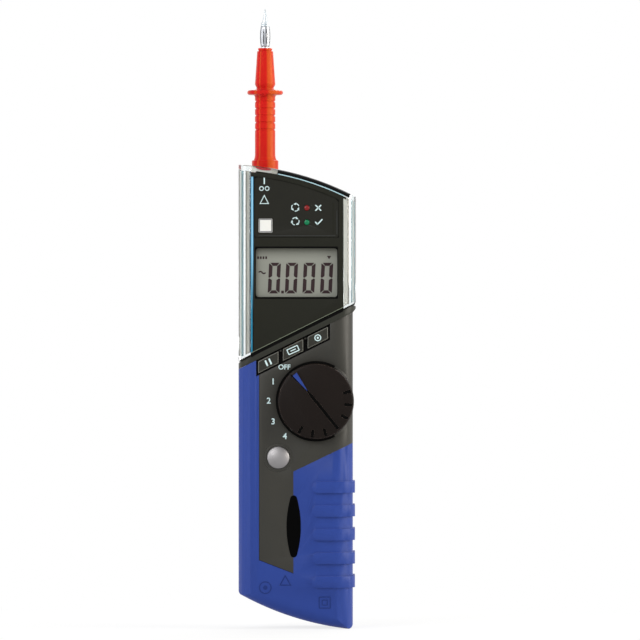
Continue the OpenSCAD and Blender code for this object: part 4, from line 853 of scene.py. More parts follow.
def swept_rim(profile: Sequence[Point], axis: Point, span: Point, steps: int = 40) -> Mesh:
    """Carries a closed profile along an arc in X and Z.

    Args:
        profile: Distance from the arc's centre and depth in Y of each corner.
        axis: Centre of the arc in X and Z.
        span: Angles of its left and right end, in degrees from the right.
        steps: Number of steps along it.

    Returns:
        The swept mesh, closed at both ends.
    """
    bm = bmesh.new()
    start = math.radians(span[0])
    verts = [bm.verts.new((axis[0] + r * math.cos(start), y, axis[1] + r * math.sin(start)))
             for r, y in profile]
    edges = [bm.edges.new((verts[i - 1], verts[i])) for i in range(len(verts))]
    bmesh.ops.spin(bm, geom=verts + edges, cent=(axis[0], 0, axis[1]), axis=(0, 1, 0),
                   angle=math.radians(span[0] - span[1]), steps=steps, use_duplicate=False)
    bmesh.ops.holes_fill(bm, edges=[e for e in bm.edges if e.is_boundary])
    return outward(bm)


def ease(bm: Mesh, width: float, segments: int, slot: int = 0) -> Mesh:
    """Bevels the sharp edges of a mesh.

    Args:
        bm: The mesh, in millimetres.
        width: Width of the bevel.
        segments: Number of faces across it.
        slot: Place of the bevel's finish among those of the piece.

    Returns:
        The same mesh.
    """
    sharp = [e for e in bm.edges if len(e.link_faces) == 2 and e.calc_face_angle(0) > SHARP]
    made = bmesh.ops.bevel(bm, geom=sharp, offset=width, offset_type="OFFSET", segments=segments,
                           profile=0.5, affect="EDGES", clamp_overlap=True, material=-1)
    for face in made["faces"]:
        face.material_index = slot
    return bm


def join(bm: Mesh, extra: Mesh) -> None:
    """Adds a second mesh to the first and frees it.

    Args:
        bm: The mesh that grows.
        extra: The mesh that is added.
    """
    held = bpy.data.meshes.new("held")
    extra.to_mesh(held)
    extra.free()
    bm.from_mesh(held)
    bpy.data.meshes.remove(held)


def finish_piece(name: str, bm: Mesh, finish: Finish, body: str,
                 place: Sequence[float] = (0, 0, 0), turn: Optional[Matrix] = None,
                 replaces: Iterable[str] = (), smooth: float = 35.0,
                 edge: Optional[Finish] = None) -> Piece:
    """Turns a mesh in millimetres into a finished piece of the object.

    Args:
        name: Name of the piece.
        bm: Its mesh, which is freed.
        finish: Finish that it is made in.
        body: Body that it rides on.
        place: Where its own origin goes.
        turn: Turn about that origin, made first.
        replaces: Solids that it stands for.
        smooth: Edges flatter than this angle, in degrees, are shaded smooth.
        edge: Finish of its faces in the second slot, such as eased edges painted lighter as a highlight.

    Returns:
        The piece.
    """
    if turn is not None:
        bmesh.ops.transform(bm, matrix=turn.to_4x4(), verts=bm.verts)
    bmesh.ops.translate(bm, verts=bm.verts, vec=place)
    bmesh.ops.scale(bm, verts=bm.verts, vec=(MM, MM, MM))
    mesh = bpy.data.meshes.new(name)
    bm.to_mesh(mesh)
    bm.free()
    mesh.polygons.foreach_set("use_smooth", [True] * len(mesh.polygons))
    mesh.set_sharp_from_angle(angle=math.radians(smooth))
    for each in (finish, edge) if edge else (finish,):
        mesh.materials.append(material_of(each))
    piece = bpy.data.objects.new(name, mesh)
    bpy.context.scene.collection.objects.link(piece)
    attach(piece, body)
    if replaces:
        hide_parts(*replaces)
    return piece


def node_copy(node: str) -> Mesh:
    """Copies a solid's mesh, with its loose triangles joined and its flat faces made whole.

    Args:
        node: The solid.

    Returns:
        The copy, in millimetres.
    """
    bm = bmesh.new()
    bm.from_mesh(frame["nodes"][node].data)
    bmesh.ops.scale(bm, verts=bm.verts, vec=(1 / MM,) * 3)
    bmesh.ops.remove_doubles(bm, verts=bm.verts, dist=2e-3)
    bmesh.ops.dissolve_limit(bm, angle_limit=math.radians(0.6), verts=bm.verts, edges=bm.edges)
    return bm


# -------- flat marks


@dataclass
class Artwork:
    """Flat marks in X and Z, gathered in one mesh and raised to the thickness of their ink.

    Attributes:
        thickness: Thickness of the marks.
    """

    thickness: float

    def __post_init__(self) -> None:
        """Starts the mesh."""
        self.bm = bmesh.new()

    def shape(self, outline: Sequence[Point]) -> None:
        """Adds a filled outline."""
        self.bm.faces.new([self.bm.verts.new((x, 0, z)) for x, z in outline])

    def disc(self, x: float, z: float, radius: float) -> None:
        """Adds a filled circle."""
        self.shape(circle(x, z, radius))

    def ring(self, outer: Sequence[Point], inner: Sequence[Point]) -> None:
        """Adds the frame between two outlines.

        Args:
            outer: Corners of the outer one.
            inner: As many corners of the inner one, in the same order.
        """
        loops = []
        for loop in (outer, inner):
            verts = [self.bm.verts.new((x, 0, z)) for x, z in loop]
            loops += [self.bm.edges.new((verts[i - 1], verts[i])) for i in range(len(verts))]
        bmesh.ops.bridge_loops(self.bm, edges=loops)

    def hoop(self, x: float, z: float, outer: float, inner: float) -> None:
        """Adds a round ring, given its centre and its outer and inner radius."""
        self.ring(circle(x, z, outer), circle(x, z, inner))

    def frame(self, outer: Sequence[Point], width: float) -> None:
        """Adds the outline of a convex shape with a stroke inside its edge.

        Args:
            outer: Corners of the shape, anticlockwise.
            width: Width of the stroke.
        """
        inner = []
        for i, here in enumerate(outer):
            here = Vector(here)
            back, ahead = Vector(outer[i - 1]) - here, Vector(outer[(i + 1) % len(outer)]) - here
            middle = (back.normalized() + ahead.normalized()).normalized()
            inner.append(here + middle * width / math.sin(back.angle(ahead) / 2))
        self.ring(outer, inner)

    def bar(self, start: Point, end: Point, width: float) -> None:
        """Adds a straight stroke.

        Args:
            start: Middle of its first end.
            end: Middle of its other end.
            width: Width of the stroke.
        """
        run = Vector((end[0] - start[0], end[1] - start[1]))
        side = Vector((-run.y, run.x)).normalized() * width / 2
        self.shape([(start[0] + side.x, start[1] + side.y), (start[0] - side.x, start[1] - side.y),
                    (end[0] - side.x, end[1] - side.y), (end[0] + side.x, end[1] + side.y)])

    def arc(self, x: float, z: float, radius: float, start: float, end: float, width: float) -> None:
        """Adds a curved stroke.

        Args:
            x: Centre in X.
            z: Centre in Z.
            radius: Radius of its middle.
            start: First angle in degrees.
            end: Last angle in degrees.
            width: Width of the stroke.
        """
        self.shape(curved_bar(x, z, (radius - width / 2, radius + width / 2), start, end, 16))

    def circling_arrows(self, x: float, z: float, radius: float, way: int) -> None:
        """Adds the common mark of rotation: three arrows in a circle.

        Args:
            x: Centre in X.
            z: Centre in Z.
            radius: Radius of the circle.
            way: 1 for anticlockwise arrows, -1 for clockwise ones.
        """
        stroke, barb, shaft, root, tip = 0.22, 0.34, 64, 60, 104
        for first in (20, 140, 260):
            self.arc(x, z, radius, first, first + way * shaft, stroke * radius)
            ahead, back = math.radians(first + way * tip), math.radians(first + way * root)
            self.shape([(x + r * radius * math.cos(a), z + r * radius * math.sin(a))
                        for r, a in ((1, ahead), (1 + barb, back), (1 - barb, back))])

    def glyphs(self, text: str, x: float, z: float, height: float, bold: float) -> None:
        """Adds figures or a word in a plain sans-serif.

        Args:
            text: What to write.
            x: Centre in X.
            z: Centre in Z.
            height: Height of the glyphs.
            bold: How far their outline is thickened, as a share of the type size.
        """
        curve = bpy.data.curves.new("glyphs", "FONT")
        curve.body, curve.offset, curve.resolution_u = text, bold, 4
        holder = bpy.data.objects.new("glyphs", curve)
        bpy.context.scene.collection.objects.link(holder)
        mesh = bpy.data.meshes.new_from_object(holder.evaluated_get(bpy.context.evaluated_depsgraph_get()))
        bpy.data.objects.remove(holder)
        bpy.data.curves.remove(curve)
        word = bmesh.new()
        word.from_mesh(mesh)
        xs, ys = [v.co.x for v in word.verts], [v.co.y for v in word.verts]
        size = height / (max(ys) - min(ys))
        mid = Vector(((max(xs) + min(xs)) / 2, (max(ys) + min(ys)) / 2, 0))
        lay = (Matrix.Translation((x, 0, z)) @ Matrix.Rotation(math.pi / 2, 4, "X")
               @ Matrix.Scale(size, 4) @ Matrix.Translation(-mid))
        bmesh.ops.transform(word, matrix=lay, verts=word.verts)
        bpy.data.meshes.remove(mesh)
        join(self.bm, word)

    def press(self) -> Mesh:
        """Raises the marks to their thickness.

        Returns:
            Their mesh, with its face at y = -thickness.
        """
        bmesh.ops.remove_doubles(self.bm, verts=self.bm.verts, dist=1e-4)
        grow(self.bm, self.bm.faces, -self.thickness)
        bmesh.ops.recalc_face_normals(self.bm, faces=self.bm.faces)
        return self.bm


# -------- the case and its shoulder


def slot_of(node: str) -> str:
    """Returns the record's material slot of a solid."""
    return next(s["material_slot"] for s in frame["record"]["subparts"] if s["node"] == node)


@dataclass
class EasedSolid:
    """A moulded or turned piece that keeps its solid's shape and gets the small radii of a real edge.

    Attributes:
        node: Solid that it stands for.
        body: Body that it rides on.
        finish: Finish that it is made in.
        radius: Width of the eased edges, in millimetres.
        segments: Faces across an eased edge.
        edge: Finish of the eased edges, where it isn't the same; a lighter one paints a highlight there.
    """

    node: str
    body: str
    finish: Finish
    radius: float
    segments: int = 2
    edge: Optional[Finish] = None

    def build(self) -> Piece:
        """Builds the piece.

        Returns:
            The piece.
        """
        bm = ease(node_copy(self.node), self.radius, self.segments, slot=1 if self.edge else 0)
        return finish_piece(self.node + "_moulded", bm, self.finish, self.body,
                            replaces=[self.node], smooth=32.0, edge=self.edge)


@dataclass
class CaseShell:
    """Covers, grips, shoulder band, battery door and the marks on them.

    Attributes:
        ring: Centre in X and Z of the ring mark over the lower socket.
        ring_r: Outer and inner radius of that ring, and radius of its dot.
        triangle: Left, right, lower and upper side of the bare triangle.
        triangle_stroke: Width of its outline.
        square: Centre in X and Z of the double square.
        square_side: Side of the outer square; the inner one's is half of it.
        square_stroke: Width of its outlines.
        mark_t: Height of the moulded marks over the grip.
        panel_x: Left side of the grey panel between the grips, and right end of its slanted foot.
        panel_z: Upper end of that left side, its lower end, and height of the right end of the foot.
        shadow: Width of the painted shadow line along both.
    """

    ring: Point = (-13.0, 17.0)
    ring_r: Triple = (2.6, 2.15, 0.9)
    triangle: Quad = (-7.4, -2.3, 17.8, 22.3)
    triangle_stroke: float = 0.45
    square: Point = (11.3, 10.9)
    square_side: float = 4.9
    square_stroke: float = 0.4
    mark_t: float = 0.08
    panel_x: Point = (-15.52, -1.45)
    panel_z: Triple = (104.0, 28.2, 22.8)
    shadow: float = 0.16

    def build(self) -> list[Piece]:
        """Builds the case.

        Returns:
            The pieces.
        """
        solids = (
            EasedSolid("front_cover", "case", CASE_GREY, 0.2),
            EasedSolid("rear_cover", "case", CASE_GREY, 0.2),
            EasedSolid("front_grip", "case", GRIP_BLUE, 0.28, 3, GRIP_EDGE_HIGHLIGHT),
            EasedSolid("rear_grip", "case", GRIP_BLUE, 0.28, 3, GRIP_EDGE_HIGHLIGHT),
            EasedSolid("shoulder_band", "case", BAND_GREY, 0.35, 3),
            EasedSolid("battery_door", "battery_door", CASE_GREY, 0.15),
        )
        return [solid.build() for solid in solids] + [self.moulded_marks(), self.painted_shadow_line()]

    def moulded_marks(self) -> Piece:
        """Makes the raised ring over the socket, the bare triangle and the double square, painted darker as
        shade.

        Returns:
            The piece.
        """
        art = Artwork(self.mark_t)
        outer, inner, dot = self.ring_r
        art.hoop(*self.ring, outer, inner)
        art.disc(*self.ring, dot)
        left, right, low, high = self.triangle
        art.frame([(left, low), (right, low), ((left + right) / 2, high)], self.triangle_stroke)
        x, z = self.square
        for half in (self.square_side / 2, self.square_side / 4):
            art.ring(*(round_box(x - r, x + r, z - r, z + r, corner, 3)
                       for r, corner in ((half, 0.3), (half - self.square_stroke, 0.15))))
        return finish_piece("grip_moulded_marks", art.press(), MARK_SHADE_BLUE, "case", (0, FRONT, 0))

    def painted_shadow_line(self) -> Piece:
        """Makes the thin painted shadow line where the grip meets the grey panel on its left.

        Returns:
            The piece.
        """
        art = Artwork(HAIR_T)
        left, right = self.panel_x
        high, low, foot = self.panel_z
        art.bar((left, high), (left, low), self.shadow)
        art.bar((left, low + 0.05), (right, foot), self.shadow)
        return finish_piece("grip_painted_shadow_line", art.press(), BLACK_NYLON_AND_SHADE, "case",
                            (0, FRONT, 0))


# -------- the clear hood and the display

# Centre in X and Z of the hood's curved top, which the legend plate follows
CROWN_AXIS: Point = (-29.4, 75.4)


def shoulder(x: float) -> float:
    """Returns the height of the shoulder band's lower edge at x: a straight line at 26.4 degrees."""
    return 118.1 + x * math.tan(math.radians(26.4))


def shoulder_strip(left: float, right: float, low: float, high: float) -> list[Point]:
    """Works out a strip that runs along the shoulder with upright ends.

    Args:
        left: Its left end in X.
        right: Its right end.
        low: Height of its lower side over the band's lower edge.
        high: Height of its upper side.

    Returns:
        Its four corners.
    """
    return [(left, shoulder(left) + low), (right, shoulder(right) + low),
            (right, shoulder(right) + high), (left, shoulder(left) + high)]


@dataclass
class ClearHood:
    """Clear moulded hood with painted reflections inside its walls and on its crown, and the blue strip.

    Attributes:
        crown: Radius of the curved top.
        crown_edge: Radius of the edge between top and front.
        half: Half of its width.
        side_edge: Radius of its upright edges.
        left_reflections: Left edge, right edge and finish of each painted reflection strip in the left wall.
        right_reflections: The same in the right wall.
        reflection_ends: Distance of the reflection strips from the band's lower edge and from the top.
        reflection_t: Thickness of a reflection strip.
        reflection_under: Depth of a reflection strip under the surface.
        rim_reflections: Inner and outer radius, ends in X and finish of each painted reflection line on its
            front rim.
        dark_span: Left and right end of the painted dark band on the crown.
        dark_turn: Angles on the crown's edge, from the front, between which the dark band lies.
        rim_span: Left and right end of the olive painted shade beside the dark band.
        rim_turn: Angles between which that rim lies.
        shell: How far the painted bands stand over the crown's edge, and how deep they reach into it.
        collar_span: Left and right end of the pale painted reflection in front of the probe's collar.
        collar_r: Inner and outer radius of that reflection.
        collar_beige: Left and right end of the beige painted reflection at its right.
        collar_beige_r: Inner and outer radius of that beige reflection.
        collar_y: Depth of both reflections behind the case's front.
        collar_t: Thickness of both reflections.
        glint: Place of the red painted reflection of the collar in it.
        glint_half: Half of the glint's width and height.
        glint_lean: Slope of the glint, in degrees.
        seam_foot: Height of the black joint's lower edge over the band's.
        seam_half: Half of the joint's width.
        seam: Height of the joint, and of the painted highlight along the lip over it.
    """

    crown: float = 114.5
    crown_edge: float = 2.2
    half: float = Extent.of("clear_hood").high.x
    side_edge: float = 6.5
    left_reflections: tuple[tuple[float, float, Finish], ...] = (
        (-23.4, -22.85, WALL_BEIGE), (-22.8, -22.45, WALL_GREEN), (-22.4, -21.65, WALL_CYAN),
        (-20.95, -20.4, WALL_GREY), (-20.35, -19.45, WALL_BEIGE), (-19.4, -18.98, WALL_TEAL))
    right_reflections: tuple[tuple[float, float, Finish], ...] = (
        (19.0, 20.5, WALL_LIGHT), (20.55, 21.05, WALL_GREY), (21.9, 22.35, WALL_CYAN),
        (22.4, 23.0, WALL_LIGHT), (23.05, 23.35, WALL_CYAN), (23.4, 23.75, WALL_OLIVE))
    reflection_ends: Point = (4.4, 2.4)
    reflection_t: float = 0.5
    reflection_under: float = 0.3
    rim_reflections: tuple[tuple[Point, Point, Finish], ...] = (
        ((111.55, 112.4), (-16.8, 20.2), MODULE_BLACK), ((112.42, 112.78), (-7.8, 19.2), WALL_CYAN))
    dark_span: Point = (-7.8, 21.9)
    dark_turn: Point = (12, 94)
    rim_span: Point = (-22.0, -7.8)
    rim_turn: Point = (62, 92)
    shell: Point = (0.03, 0.04)
    collar_span: Point = (-18.6, -7.9)
    collar_r: Point = (111.95, 113.9)
    collar_beige: Point = (-10.3, -7.85)
    collar_beige_r: Point = (112.1, 113.5)
    collar_y: Point = (1.8, 1.3)
    collar_t: Point = (0.4, 0.2)
    glint: Triple = (-13.8, -13.05, 188.1)
    glint_half: Point = (3.3, 0.75)
    glint_lean: float = 7.8
    seam_foot: float = 2.4
    seam_half: float = 18.85
    seam: Point = (1.5, 0.3)

    def top_z(self, x: float) -> float:
        """Returns the height of the curved top at x."""
        return CROWN_AXIS[1] + math.sqrt(self.crown ** 2 - (x - CROWN_AXIS[0]) ** 2)

    def skin_y(self, x: float) -> float:
        """Returns the depth of the hood's front surface at x."""
        past = max(0.0, abs(x) - (self.half - self.side_edge))
        return FRONT + self.side_edge - math.sqrt(self.side_edge ** 2 - past ** 2)

    def angles(self, span: Point, radius: float) -> Point:
        """Returns where an arc of that radius passes both ends of a span, in degrees from the right."""
        left, right = (math.degrees(math.acos((x - CROWN_AXIS[0]) / radius)) for x in span)
        return left, right

    def wall_reflections(self) -> list[Piece]:
        """Makes the painted reflections: upright strips just under the surface of both side walls.

        Returns:
            The pieces.
        """
        made = []
        foot, top = self.reflection_ends
        for i, (x0, x1, finish) in enumerate(self.left_reflections + self.right_reflections):
            bm = slab([(x0, shoulder(x0) + foot), (x1, shoulder(x1) + foot),
                       (x1, self.top_z(x1) - top), (x0, self.top_z(x0) - top)], self.reflection_t)
            depth = self.skin_y(max(x0, x1, key=abs)) + self.reflection_under
            made.append(finish_piece(f"hood_wall_painted_reflection_{i + 1}", bm, finish, "case",
                                     (0, depth, 0)))
        return made

    def arc_slab(self, radii: Point, span: Point, depth: float) -> Mesh:
        """Makes a flat bar that is curved like the top.

        Args:
            radii: Inner and outer radius.
            span: Left and right end in X.
            depth: Thickness of the bar.

        Returns:
            The bar.
        """
        return slab(curved_bar(*CROWN_AXIS, radii, *self.angles(span, radii[1]), 32), depth)

    def rim_shell(self, turn: Point, span: Point) -> Mesh:
        """Makes a thin shell on the rounded edge between front and top.

        Args:
            turn: Angles on the edge where it begins and ends, in degrees from the front.
            span: Left and right end in X.

        Returns:
            The shell.
        """
        over, under = self.shell
        section = curved_bar(self.crown - self.crown_edge, FRONT + self.crown_edge,
                             (self.crown_edge - under, self.crown_edge + over),
                             turn[0] - 90, turn[1] - 90, 10)
        return swept_rim(section, CROWN_AXIS, self.angles(span, self.crown))

    def crown_reflections(self) -> list[Piece]:
        """Makes the painted dark band on the crown's edge, the olive painted shade beside it and the painted
        reflection lines under it.

        Returns:
            The pieces.
        """
        made = [
            finish_piece("hood_crown_painted_dark", self.rim_shell(self.dark_turn, self.dark_span), CROWN_DARK_BAND,
                         "case", smooth=60),
            finish_piece("hood_crown_rim", self.rim_shell(self.rim_turn, self.rim_span), WALL_OLIVE,
                         "case", smooth=60)]
        for i, (radii, span, finish) in enumerate(self.rim_reflections):
            made.append(finish_piece(f"hood_rim_painted_reflection_{i + 1}", self.arc_slab(radii, span, PRINT_T), finish,
                                     "case", (0, FRONT - self.shell[0], 0)))
        return made

    def collar_reflections(self) -> list[Piece]:
        """Makes the painted reflections inside the crown in front of the collar: pale ground, beige strip,
        red glint.

        Returns:
            The pieces.
        """
        (ground_y, step_y), (ground_t, reflection_t) = self.collar_y, self.collar_t
        glint = Artwork(0.05)
        glint.shape([(self.glint_half[0] * x, self.glint_half[1] * z) for x, z in circle(0, 0, 1)])
        return [
            finish_piece("hood_collar_ground", self.arc_slab(self.collar_r, self.collar_span, ground_t),
                         WALL_LIGHT, "case", (0, FRONT + ground_y, 0)),
            finish_piece("hood_collar_beige_reflection", self.arc_slab(self.collar_beige_r, self.collar_beige, reflection_t),
                         WALL_BEIGE, "case", (0, FRONT + step_y, 0)),
            finish_piece("hood_collar_glint", tilt(glint.press(), self.glint_lean), WALL_RED, "case",
                         self.glint),
        ]

    def seam_lines(self) -> list[Piece]:
        """Makes the black joint over the band and the pale painted highlight along the hood's lip over it.

        Returns:
            The pieces.
        """
        joint, lip = self.seam
        low, high = self.seam_foot, self.seam_foot + joint
        made = []
        for name, foot, top, finish, slot in (
                ("hood_seam", low, high, BLACK_NYLON_AND_SHADE, "black_plastic"),
                ("hood_lip", high + 0.04, high + lip, LIP_HIGHLIGHT_GREEN, "clear_plastic")):
            art = Artwork(PRINT_T)
            art.shape(shoulder_strip(-self.seam_half, self.seam_half, foot, top))
            made.append(finish_piece(name, art.press(), finish, "case", (0, FRONT, 0)))
        return made

    def build(self) -> list[Piece]:
        """Builds the hood.

        Returns:
            The pieces.
        """
        return [
            EasedSolid("clear_hood", "case", CLEAR, 0.3, 3).build(),
            EasedSolid("edge_strip", "case", EDGE_BLUE, 0.15).build(),
            *self.wall_reflections(), *self.crown_reflections(), *self.collar_reflections(), *self.seam_lines(),
        ]


GLASS, PLATE = Extent.of("lcd_glass"), Extent.of("legend_plate")
OK_LAMP, FAULT_LAMP = Extent.of("ok_lamp"), Extent.of("fault_lamp")


@dataclass
class DisplayModule:
    """Black display module: its window, figures, legend plate, lamps and badge.

    Attributes:
        lap: How far the glass reaches under the housing on each side of the window.
        glass_y: Face of the display glass.
        gasket: Width of the gasket at the left and at its other sides, and radius of its corners.
        lip: Height of the painted shadows under and over the window.
        plate: Left, right and lower edge of the legend plate.
        plate_r: Radius of the plate's upper edge.
        plate_corner: Radius of its lower corners.
        plate_y: Face of the plate.
        groove: Distance from the plate's edge of both sides of the painted shade in the groove round it.
        hairline: Distance of the faint line from the plate's edge, its width and its upper end.
        stripe: Place in X, width and upper end of the darker stripe at the plate's right.
        lamp_x: Place of the two lamps.
        lamp_z: Heights of the lower and the upper lamp.
        column_x: Place of the marks at the plate's left.
        arrows_x: Place of the rotation marks.
        verdict_x: Place of cross and tick.
        mark_stroke: Width of the bolder strokes.
        column_bar: Upper and lower end of the bar in the left column.
        column_rings: Height of its ring pair, half of their spacing, outer and inner radius.
        column_triangle: Half of its triangle's width, foot, tip and stroke.
        arrows_r: Radius of the rotation marks.
        arrows_rise: How far the lower and the upper one stand over their lamps.
        cross: Half of the cross's width and height.
        tick: Both ends of the tick's two strokes, from its place and the lower lamp.
        digit_z: Lower edge and height of the figures.
        digit_x: Left side of each figure.
        digit_w: Width of a figure.
        stroke: Width of the upright segments.
        bar: Width of the level segments.
        mitre: Length of a segment's cut corners, and half of the gap between two segments.
        lean: Lean of the figures, as run over rise.
        point: Left, right, lower and upper side of the decimal point.
        wave: Centre in X and Z of both halves of the small wave sign.
        wave_line: Radius of its strokes and their width.
        cells: Left, right, lower and upper side of the first of the four small squares.
        cell_pitch: Spacing of those squares.
        wedge: Corners of the small arrowhead.
    """

    lap: float = 0.6
    glass_y: float = GLASS.low.y
    gasket: Triple = (0.35, 0.3, 1.1)
    lip: Point = (0.45, 0.4)
    plate: Triple = (PLATE.low.x, PLATE.high.x, PLATE.low.z)
    plate_r: float = 110.1
    plate_corner: float = 1.2
    plate_y: float = PLATE.low.y
    groove: Point = (0.45, 0.12)
    hairline: Triple = (0.62, 0.12, 171.0)
    stripe: Triple = (14.8, 0.8, 174.2)
    lamp_x: float = OK_LAMP.middle.x
    lamp_z: Point = (OK_LAMP.middle.z, FAULT_LAMP.middle.z)
    column_x: float = -13.4
    arrows_x: float = -0.7
    verdict_x: float = 8.65
    mark_stroke: float = 0.5
    column_bar: Point = (184.4, 181.8)
    column_rings: Quad = (180.0, 1.15, 0.95, 0.62)
    column_triangle: Quad = (1.95, 173.7, 177.5, 0.3)
    arrows_r: float = 1.5
    arrows_rise: Point = (0.4, 0.2)
    cross: float = 1.15
    tick: tuple[Quad, Quad] = ((-1.25, 0.2, -0.25, -0.95), (-0.4, -0.95, 1.65, 1.25))
    digit_z: Point = (137.15, 12.55)
    digit_x: tuple[float, ...] = (-12.05, -5.04, 2.15, 9.35)
    digit_w: float = 4.85
    stroke: float = 1.5
    bar: float = 1.3
    mitre: Point = (0.45, 0.09)
    lean: float = 0.047
    point: Quad = (-6.5, -5.4, 137.15, 138.3)
    wave: tuple[Point, Point] = ((-15.0, 145.3), (-13.62, 146.1))
    wave_line: Point = (0.8, 0.56)
    cells: Quad = (-16.3, -15.6, 151.2, 152.3)
    cell_pitch: float = 1.1
    wedge: tuple[Point, ...] = ((12.2, 152.5), (13.9, 152.5), (13.05, 151.1))

    def build(self) -> list[Piece]:
        """Builds the module.

        Returns:
            The pieces.
        """
        return [
            EasedSolid("display_housing", "case", MODULE_BLACK, 0.15).build(),
            EasedSolid("display_back", "case", MODULE_BLACK, 0.2).build(),
            EasedSolid("legend_plate", "case", FOIL_BLACK, 0.06, 1).build(),
            self.window_frame(), self.window_shadows(), self.figures(), *self.plate_groove_shade(),
            self.plate_marks(), *self.square_badge(), *self.lamps(),
        ]

    @property
    def window(self) -> Quad:
        """Returns the left, right, lower and upper edge of the window."""
        low, high = GLASS.low, GLASS.high
        return low.x + self.lap, high.x - self.lap, low.z + self.lap, high.z - self.lap

    def window_frame(self) -> Piece:
        """Makes the dark gasket inside the window, with its rounded corners.

        Returns:
            The piece.
        """
        x0, x1, z0, z1 = self.window
        side, rim, corner = self.gasket
        art = Artwork(1.0)
        art.ring(round_box(x0 + 0.02, x1 - 0.02, z0 + 0.02, z1 - 0.02, 0.05),
                 round_box(x0 + side, x1 - rim, z0 + rim, z1 - rim, corner))
        return finish_piece("window_gasket", art.press(), BLACK_NYLON_AND_SHADE, "case",
                            (0, self.glass_y - 0.1, 0))

    def window_shadows(self) -> Piece:
        """Makes painted shadows: black chamfered strips under and over the window.

        Returns:
            The piece.
        """
        x0, x1, z0, z1 = self.window
        art = Artwork(FILM_T)
        for z, edge in ((z0, z0 - self.lip[0]), (z1, z1 + self.lip[1])):
            art.shape([(x0 - 0.1, z), (x0 + 0.3, edge), (x1 - 0.3, edge), (x1 + 0.1, z)])
        return finish_piece("window_shadows", art.press(), BLACK_NYLON_AND_SHADE, "case", (0, FRONT, 0))

    def figure(self, art: Artwork, x: float) -> None:
        """Adds one figure nought of six mitred segments.

        Args:
            art: Marks that it joins.
            x: Its lower left corner in X.
        """
        z0, height = self.digit_z
        (cut, gap), w, t, u = self.mitre, self.digit_w, self.stroke, self.bar

        def lay(points: Iterable[Point]) -> None:
            """Adds one segment, leaning, from its corners in an upright figure."""
            art.shape([(x + px + self.lean * pz, z0 + pz) for px, pz in points])

        for foot, up in ((0.0, 1), (height, -1)):
            lay([(cut + gap, foot), (w - cut - gap, foot),
                 (w - t - gap, foot + up * u), (t + gap, foot + up * u)])
        lower = [(0.0, cut + gap), (0.0, height / 2 - 0.25 - gap), (0.5, height / 2 - gap),
                 (t, height / 2 - 0.7 - gap), (t, u + gap), (0.15, 0.25)]
        for side in (lower, [(px, height - pz) for px, pz in lower]):
            lay(side)
            lay((w - px, pz) for px, pz in side)

    def figures(self) -> Piece:
        """Makes the lit segments, the decimal point and the small marks round them.

        Returns:
            The piece.
        """
        art = Artwork(FILM_T)
        for x in self.digit_x:
            self.figure(art, x)
        art.shape(round_box(*self.point, 0.15, 3))
        radius, width = self.wave_line
        art.arc(*self.wave[0], radius, 150, 30, width)
        art.arc(*self.wave[1], radius, 210, 330, width)
        left, right, low, high = self.cells
        for step in (self.cell_pitch * i for i in range(4)):
            art.shape(round_box(left + step, right + step, low, high, 0.1, 3))
        art.shape(self.wedge)
        return finish_piece("display_figures", art.press(), SEGMENT, "case", (0, self.glass_y, 0))

    def plate_outline(self, grow_by: float) -> list[Point]:
        """Works out the plate's outline with its rounded corners, drawn outwards.

        Args:
            grow_by: How far outside the plate it runs.

        Returns:
            Its corners, anticlockwise from the lower left.
        """
        corner, steps = self.plate_corner, 24
        left, right, low = self.plate[0] - grow_by, self.plate[1] + grow_by, self.plate[2] - grow_by
        big = self.plate_r + grow_by
        foot = arc_points(left + corner, low + corner, corner, 180, 270, 6)
        foot += arc_points(right - corner, low + corner, corner, 270, 360, 6)
        top = [(x, CROWN_AXIS[1] + math.sqrt(big ** 2 - (x - CROWN_AXIS[0]) ** 2))
               for x in (right - (right - left) * i / steps for i in range(steps + 1))]
        top[0], top[-1] = (right, top[0][1] - 0.9), (left, top[-1][1] - 0.9)
        return foot + top

    def plate_groove_shade(self) -> list[Piece]:
        """Makes painted shade, a black ring in the groove round the plate, with the faint line inside it and
        a darker stripe.

        Returns:
            The pieces.
        """
        groove, line, stripe = Artwork(PRINT_T), Artwork(PRINT_T), Artwork(FILM_T)
        groove.ring(self.plate_outline(self.groove[0]), self.plate_outline(self.groove[1]))
        left, right, low = self.plate
        inset, width, end = self.hairline
        line.bar((left + 1.6, low + inset), (right - 1.2, low + inset), width)
        line.bar((right - inset, low + 1.2), (right - inset, end), width)
        x, width, end = self.stripe
        stripe.bar((x, low + 1.4), (x, end), width)
        place = (0, self.plate_y, 0)
        return [finish_piece("plate_groove_shade", groove.press(), BLACK_NYLON_AND_SHADE, "case", place),
                finish_piece("plate_hairline", line.press(), INK_GREY, "case", place),
                finish_piece("plate_stripe", stripe.press(), MODULE_BLACK, "case", place)]

    def plate_marks(self) -> Piece:
        """Makes the pale prints of the plate: bar, ring pair, triangle, arrows, cross and tick.

        Returns:
            The piece.
        """
        art = Artwork(PRINT_T)
        x, bold = self.column_x, self.mark_stroke
        top, foot = self.column_bar
        art.bar((x, top), (x, foot), bold)
        z, apart, outer, inner = self.column_rings
        for side in (-apart, apart):
            art.hoop(x + side, z, outer, inner)
        half, foot, tip, stroke = self.column_triangle
        art.frame([(x - half, foot), (x + half, foot), (x, tip)], stroke)
        (lower, upper), (low_rise, high_rise) = self.lamp_z, self.arrows_rise
        art.circling_arrows(self.arrows_x, upper + high_rise, self.arrows_r, 1)
        art.circling_arrows(self.arrows_x, lower + low_rise, self.arrows_r, -1)
        x, half = self.verdict_x, self.cross
        for rise in (half, -half):
            art.bar((x - half, upper + rise), (x + half, upper - rise), bold)
        for x0, z0, x1, z1 in self.tick:
            art.bar((x + x0, lower + z0), (x + x1, lower + z1), bold)
        return finish_piece("plate_prints", art.press(), INK, "case", (0, self.plate_y, 0))

